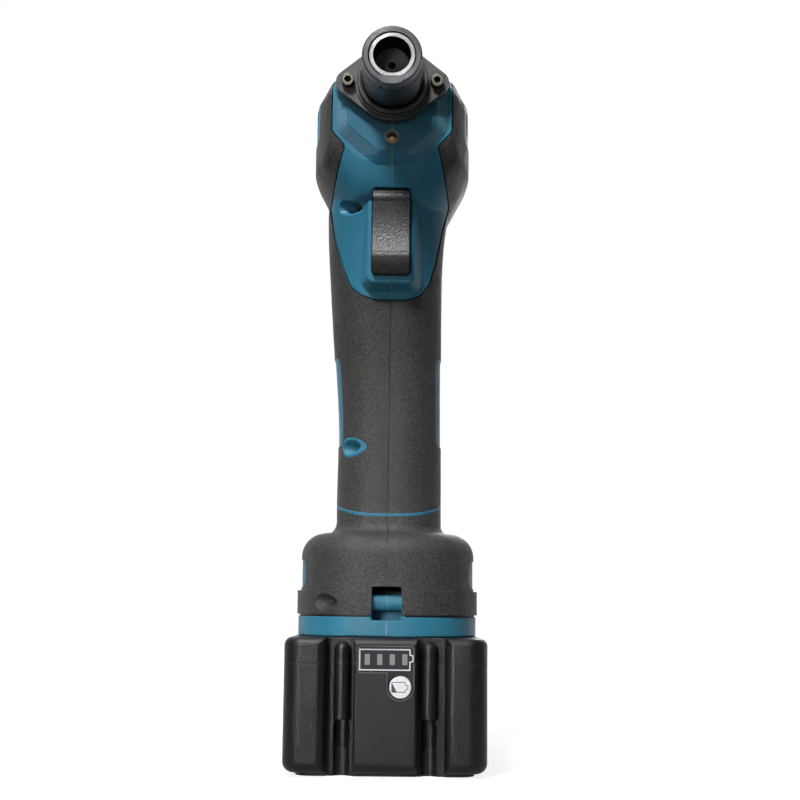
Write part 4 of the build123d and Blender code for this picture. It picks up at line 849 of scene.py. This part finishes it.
class NAILER_OT_lamp_chip(bpy.types.Operator):
    """Puts the cup and the chip behind the lamp's clear lens, and the bezel round it"""

    bl_idname = "nailer.lamp_chip"
    bl_label = "Fit Lamp Chip"

    def cup(self, place):
        """Hollow reflector with a narrower floor."""
        radius, depth, wall, hollow, floor = 1.9 * MM, 1.6 * MM, 0.15 * MM, 1.2 * MM, 0.5
        deselect()
        bpy.ops.mesh.primitive_cylinder_add(
            vertices=40, radius=radius, depth=depth, location=place, rotation=(math.pi / 2, 0, 0)
        )
        cup = apply_place()
        edit(cup)
        pick(cup, "FACE", lambda face: face.normal.y < -0.9)
        bpy.ops.mesh.inset(thickness=wall)
        bpy.ops.mesh.extrude_region_move(TRANSFORM_OT_translate={"value": (0, hollow, 0)})
        bpy.ops.transform.resize(value=(floor, 1, floor), center_override=place)
        finish_piece(cup, "lamp_cup", "tool", "white_plastic", lamp_reflector().material)

    def bezel(self, place):
        """Thin metal ring with rounded lips."""
        radius, depth, thickness, lip_radius = 2.80 * MM, 0.9 * MM, 0.42 * MM, 0.12 * MM
        bpy.ops.mesh.primitive_cylinder_add(
            vertices=48,
            radius=radius,
            depth=depth,
            end_fill_type="NOTHING",
            location=place,
            rotation=(math.pi / 2, 0, 0),
        )
        bezel = apply_place()
        wall = bezel.modifiers.new("wall", "SOLIDIFY")
        wall.thickness, wall.offset = thickness, -1
        lip = bezel.modifiers.new("lip", "BEVEL")
        lip.width, lip.segments = lip_radius, 2
        for name in ("wall", "lip"):
            bpy.ops.object.modifier_apply(modifier=name)
        rim = plain_metal("lamp bezel", (0.36, 0.33, 0.28), 0.36).material
        finish_piece(bezel, "lamp_bezel", "tool", "collar_steel", rim)

    def chip(self, place):
        """Square chip with rounded corners."""
        side, depth, corner = 1.2 * MM, 0.5 * MM, 0.15 * MM
        bpy.ops.mesh.primitive_cube_add(size=1.0, location=place)
        bpy.context.object.scale = (side, depth, side)
        chip = apply_place()
        edit(chip)
        round_corners(chip, corner)
        warm = moulded("lamp chip", (0.50, 0.34, 0.14), 0.5, 0.2 * MM, 0.01 * MM).material
        finish_piece(chip, "lamp_chip", "tool", "white_plastic", warm)

    def execute(self, context):
        self.cup(LAMP + Vector((0, 2.9 * MM, 0)))
        self.bezel(LAMP + Vector((0, 0.60 * MM, 0)))
        self.chip(LAMP + Vector((0, 3.05 * MM, 0)))
        return {"FINISHED"}


class NAILER_OT_release_ribs(bpy.types.Operator):
    """Adds the finger ribs in the hollow of the battery's release button"""

    bl_idname = "nailer.release_ribs"
    bl_label = "Add Release Ribs"

    def execute(self, context):
        hollow_radius, hollow_centre = 7.5 * MM, release_back + 4.8 * MM
        middle, corner = 31.0 * MM, 0.4 * MM
        size = (19.0 * MM, 1.2 * MM, 0.9 * MM)
        deselect()
        place = (0, hollow_centre - hollow_radius, middle)
        bpy.ops.mesh.primitive_cube_add(size=1.0, location=place)
        bpy.context.object.scale = size
        rib = apply_place()
        edit(rib)
        round_corners(rib, corner, "x")
        deselect()
        steps = []
        for lift in (-4.2 * MM, -2.1 * MM, 2.1 * MM, 4.2 * MM):
            back = hollow_radius - math.sqrt(hollow_radius**2 - lift**2)
            steps.append((0, back, lift))
        repeat(rib, steps)
        finish_piece(rib, "release_ribs", "release", *like("release_button"))
        return {"FINISHED"}


class NAILER_OT_seam_lip(bpy.types.Operator):
    """Adds the lips inside the neck that close the joint between the body halves"""

    bl_idname = "nailer.seam_lip"
    bl_label = "Add Seam Lips"

    def execute(self, context):
        width, thickness, corner = 3.0 * MM, 0.85 * MM, 0.4 * MM
        front, back = -16.8 * MM, 17.6 * MM
        spans = {
            "front": (67.0 * MM, 118.0 * MM, front),
            "back_low": (86.4 * MM, 118.0 * MM, back),
            "back_high": (128.0 * MM, 148.0 * MM, back),
        }
        for name, (low, high, y) in spans.items():
            lip = front_sheet(-width / 2, width / 2, low, high, y)
            thicken(y=-thickness)
            round_corners(lip, corner, "z")
            finish_piece(lip, f"seam_lip_{name}", "tool", *like("body_left"))
        return {"FINISHED"}


class NAILER_OT_ring_gasket(bpy.types.Operator):
    """Adds the gasket in the joint above the base ring, open at the strap notch and behind"""

    bl_idname = "nailer.ring_gasket"
    bl_label = "Add Ring Gasket"

    def execute(self, context):
        low, thickness, band = 57.36 * MM, 0.88 * MM, 2.2 * MM
        width, depth, centre, corner = 68.0 * MM, 89.0 * MM, 4.0 * MM, 28.4 * MM
        notch, back_end = 7.0 * MM, 34.0 * MM
        deselect()
        bpy.ops.mesh.primitive_plane_add(size=1, location=(0, centre, low))
        bpy.context.object.scale = (width, depth, 1)
        gasket = apply_place()
        edit(gasket)
        bpy.ops.mesh.select_all(action="SELECT")
        bpy.ops.mesh.bevel(offset=corner, segments=14, affect="VERTICES")
        bpy.ops.mesh.select_all(action="SELECT")
        bpy.ops.mesh.inset(thickness=band)
        bpy.ops.mesh.delete(type="FACE")
        bpy.ops.mesh.select_all(action="SELECT")
        bpy.ops.mesh.bisect(plane_co=(0, back_end, low), plane_no=(0, 1, 0), clear_outer=True)
        for side in (-notch, notch):
            bpy.ops.mesh.select_all(action="SELECT")
            bpy.ops.mesh.bisect(plane_co=(side, 0, low), plane_no=(1, 0, 0))
        pick(gasket, "FACE", lambda face: abs(face.calc_center_median().x) < notch)
        bpy.ops.mesh.delete(type="FACE")
        thicken(z=thickness)
        finish_piece(gasket, "ring_gasket", "tool", *like("driver_bumper"))
        return {"FINISHED"}


class NAILER_OT_groove_trim(bpy.types.Operator):
    """Fills the sloping groove of the neck with a blue bead, cut from the wall of each cover"""

    bl_idname = "nailer.groove_trim"
    bl_label = "Add Groove Trim"

    def execute(self, context):
        width, slope = 1.2 * MM, 0.30
        top, front = 95.8 * MM + width, -22.0 * MM
        near, merge = 0.1 * MM, 0.04 * MM

        def beside(face):
            levels = [abs(v.co.z - top - slope * (v.co.y - front)) for v in face.verts]
            return max(levels) > near

        for side in ("left", "right"):
            bead = copy_of(f"grip_cover_{side}", f"groove_trim_{side}", merge)
            pick(bead, "FACE", beside)
            bpy.ops.mesh.delete(type="FACE")
            thicken(z=-width)
            bpy.ops.mesh.customdata_custom_splitnormals_clear()
            finish_piece(bead, f"groove_trim_{side}", "tool", *like("body_left"))
            bead.select_set(True)
            bpy.ops.object.shade_smooth_by_angle(angle=math.radians(30))
            deselect()
        return {"FINISHED"}


class NAILER_OT_vent_screens(bpy.types.Operator):
    """Adds the gauze set in the side walls of the head, behind the slots"""

    bl_idname = "nailer.vent_screens"
    bl_label = "Add Vent Screens"

    def execute(self, context):
        rows, columns, cell = 13, 27, 1.0 * MM
        wire, backing = 0.22 * MM, 0.5 * MM
        middle = (24.9 * MM, -6.0 * MM, NAIL_AXIS - 8.5 * MM)
        deselect()
        bpy.ops.mesh.primitive_grid_add(
            x_subdivisions=rows,
            y_subdivisions=columns,
            size=1,
            location=middle,
            rotation=(0, math.pi / 2, 0),
        )
        bpy.context.object.scale = (rows * cell, columns * cell, 1)
        right = apply_place()
        edit(right)
        bpy.ops.mesh.select_all(action="SELECT")
        bpy.ops.mesh.inset(thickness=wire, depth=-wire, use_individual=True)
        thicken(x=-backing)
        deselect()
        left = bpy.data.objects.new("vent_screen_left", right.data.copy())
        context.scene.collection.objects.link(left)
        edit(left)
        bpy.ops.mesh.select_all(action="SELECT")
        bpy.ops.transform.resize(value=(-1, 1, 1), center_override=(0, 0, 0))
        finish_piece(right, "vent_screen_right", "tool", *like("switch"))
        finish_piece(left, "vent_screen_left", "tool", *like("switch"))
        return {"FINISHED"}


class NAILER_OT_springs(bpy.types.Operator):
    """Puts a copy of each CAD spring in its place and hides the CAD one"""

    bl_idname = "nailer.springs"
    bl_label = "Add Springs"

    def execute(self, context):
        joints = {joint["name"]: joint for joint in frame["record"]["behaviour"]["joints"]}
        for joint in joints.values():
            for spring in joint.get("deforming_nodes", ()):
                node, axis = spring["node"], spring["mode"][-1]
                coil = copy_of(node, f"{node}_coil")
                body = "battery" if joint["parent"] == "battery" else "tool"
                finish_piece(coil, f"{node}_coil", body, *like(node))
                travel = joint["range_m"][1]
                if joint["parent"] == "driver":
                    travel += joints["driver_slide"]["range_m"][1]
                low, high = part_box(node)
                fixed = spring[f"fixed_end_{axis}_m"]
                reach = max(fixed - getattr(low, axis), getattr(high, axis) - fixed)
                way, anchor = Vector(), (low + high) / 2
                setattr(way, axis, 1)
                setattr(anchor, axis, fixed)
                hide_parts(node)
                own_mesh(coil)
        return {"FINISHED"}


class NAILER_OT_stage(bpy.types.Operator):
    """Sets up the floor, the lamps, the white surroundings and the camera"""

    bl_idname = "nailer.stage"
    bl_label = "Build Stage"

    def floor(self):
        """Pale floor that the camera sees as near white, with the tool's shadow on it."""
        width, drop = 8.0, 0.2 * MM
        deselect()
        bpy.ops.mesh.primitive_plane_add(size=width, location=(0, 0, -drop))
        floor = bpy.context.object
        floor.name = "floor"
        made = Finish("pale floor")
        made.set(base_color=(0.28, 0.28, 0.28, 1), roughness=0.9, specular_ior_level=0.0)
        path = made.nodes.new("ShaderNodeLightPath").outputs
        glow = made.nodes.new("ShaderNodeEmission")
        both = made.nodes.new("ShaderNodeAddShader")
        behind = made.spread(made.axes()["Y"], 0.0, 1.0, -0.15, 0.25)
        mirrored = made.maths("MULTIPLY", path["Is Glossy Ray"], behind)
        seen = made.maths("MAXIMUM", path["Is Camera Ray"], path["Is Transmission Ray"])
        seen = made.maths("MAXIMUM", seen, mirrored)
        level = made.spread(made.distance(made.place), 0.84, 1.0, 0.12, 0.7)
        made.links.new(made.maths("MULTIPLY", seen, level), glow.inputs["Strength"])
        made.links.new(made.shader.outputs["BSDF"], both.inputs[0])
        made.links.new(glow.outputs["Emission"], both.inputs[1])
        made.links.new(both.outputs["Shader"], made.output.inputs["Surface"])
        floor.data.materials.append(made.material)

    def lamp(self, name, place, target, size, watts, beam=180):
        """Soft rectangular lamp aimed at a point, with its light kept to a beam in degrees."""
        data = bpy.data.lights.new(name, "AREA")
        data.shape = "RECTANGLE"
        data.size, data.size_y = size
        data.energy = watts
        data.spread = math.radians(beam)
        lamp = bpy.data.objects.new(name, data)
        bpy.context.scene.collection.objects.link(lamp)
        lamp.location = place
        aim = Vector(target) - Vector(place)
        lamp.rotation_euler = aim.to_track_quat("-Z", "Y").to_euler()

    def surroundings(self, strength):
        """Even world light, white to the camera, through glass and in what mirrors the back."""
        world = bpy.data.worlds.new("white surroundings")
        bpy.context.scene.world = world
        world.use_nodes = True
        nodes, links = world.node_tree.nodes, world.node_tree.links
        nodes.clear()

        def add(kind, *inputs):
            node = nodes.new(kind)
            for socket, value in zip(node.inputs, inputs):
                if isinstance(value, bpy.types.NodeSocket):
                    links.new(value, socket)
                else:
                    socket.default_value = value
            return node

        output = nodes.new("ShaderNodeOutputWorld")
        path = nodes.new("ShaderNodeLightPath").outputs
        facing = add("ShaderNodeSeparateXYZ", nodes.new("ShaderNodeTexCoord").outputs["Generated"])
        behind = add("ShaderNodeMapRange", facing.outputs["Y"], 0.10, 0.90, 0.05, 1.0)
        mirrored = add("ShaderNodeMath", path["Is Glossy Ray"], behind.outputs["Result"])
        mirrored.operation = "MULTIPLY"
        seen = add("ShaderNodeMath", path["Is Camera Ray"], path["Is Transmission Ray"])
        shown = add("ShaderNodeMath", seen.outputs["Value"], mirrored.outputs["Value"])
        seen.operation = shown.operation = "MAXIMUM"
        even = add("ShaderNodeBackground", (1, 1, 1, 1), strength)
        white = add("ShaderNodeBackground", (1, 1, 1, 1), 1.0)
        mix = add(
            "ShaderNodeMixShader",
            shown.outputs["Value"],
            even.outputs["Background"],
            white.outputs["Background"],
        )
        links.new(mix.outputs["Shader"], output.inputs["Surface"])

    def camera(self, stage):
        """Low camera in front of the nose, looking slightly up."""
        data = bpy.data.cameras.new("camera")
        data.sensor_width = 36
        data.lens = stage.focal
        data.clip_start, data.clip_end = 0.01, 20
        camera = bpy.data.objects.new("camera", data)
        bpy.context.scene.collection.objects.link(camera)
        camera.location = (stage.side, -stage.distance, stage.height)
        camera.rotation_euler = (math.pi / 2 + stage.tilt, stage.roll, 0)
        bpy.context.scene.camera = camera

    def execute(self, context):
        stage = context.scene.nailer_stage
        context.scene.view_settings.view_transform = "Standard"
        self.floor()
        middle, head, base = (0, 0, 0.15), (0, 0, 0.25), (0, -0.045, 0.064)
        self.lamp("key lamp", (-0.30, -0.80, 1.16), head, (0.26, 0.26), stage.key, 34)
        self.lamp("front lamp", (-0.34, -0.95, 0.34), middle, (0.26, 0.36), stage.front)
        self.lamp("low lamp", (-0.30, -0.92, 0.20), base, (0.16, 0.16), stage.low, 10)
        self.lamp("fill lamp", (0.85, -0.55, 0.30), middle, (0.5, 0.8), stage.fill)
        self.lamp("top lamp", (-0.15, -0.10, 1.0), middle, (0.5, 0.5), stage.top)
        self.lamp("back lamp", (0.12, 1.10, 0.60), middle, (0.5, 0.5), stage.back)
        self.surroundings(stage.ambient)
        self.camera(stage)
        return {"FINISHED"}


class NAILER_PT_dressing(bpy.types.Panel):
    """Lists the steps that dress the nailer"""

    bl_idname = "NAILER_PT_dressing"
    bl_label = "Palm Nailer"
    bl_space_type = "VIEW_3D"
    bl_region_type = "UI"
    bl_category = "Nailer"

    def draw(self, context):
        column = self.layout.column()
        for step in STEPS:
            column.operator(step.bl_idname)
        for name, group in GROUPS.items():
            for value in group.__annotations__:
                column.prop(getattr(context.scene, name), value)


GROUPS = {
    "nailer_finish": NailerFinish,
    "nailer_print": NailerPrint,
    "nailer_stage": NailerStage,
}
STEPS = (
    NAILER_OT_finish_parts,
    NAILER_OT_gauge_print,
    NAILER_OT_panel_rim,
    NAILER_OT_button_print,
    NAILER_OT_lamp_chip,
    NAILER_OT_release_ribs,
    NAILER_OT_seam_lip,
    NAILER_OT_ring_gasket,
    NAILER_OT_groove_trim,
    NAILER_OT_vent_screens,
    NAILER_OT_springs,
    NAILER_OT_stage,
)


def register():
    for cls in (*GROUPS.values(), *STEPS, NAILER_PT_dressing):
        bpy.utils.register_class(cls)
    for name, group in GROUPS.items():
        setattr(bpy.types.Scene, name, PointerProperty(type=group))


def unregister():
    for name in GROUPS:
        delattr(bpy.types.Scene, name)
    for cls in reversed((*GROUPS.values(), *STEPS, NAILER_PT_dressing)):
        bpy.utils.unregister_class(cls)


def main():
    register()
    bpy.ops.nailer.finish_parts()
    bpy.ops.nailer.gauge_print()
    bpy.ops.nailer.panel_rim()
    bpy.ops.nailer.button_print()
    bpy.ops.nailer.lamp_chip()
    bpy.ops.nailer.release_ribs()
    bpy.ops.nailer.seam_lip()
    bpy.ops.nailer.ring_gasket()
    bpy.ops.nailer.groove_trim()
    bpy.ops.nailer.vent_screens()
    bpy.ops.nailer.springs()
    bpy.ops.nailer.stage()


if __name__ == "__main__":
    main()
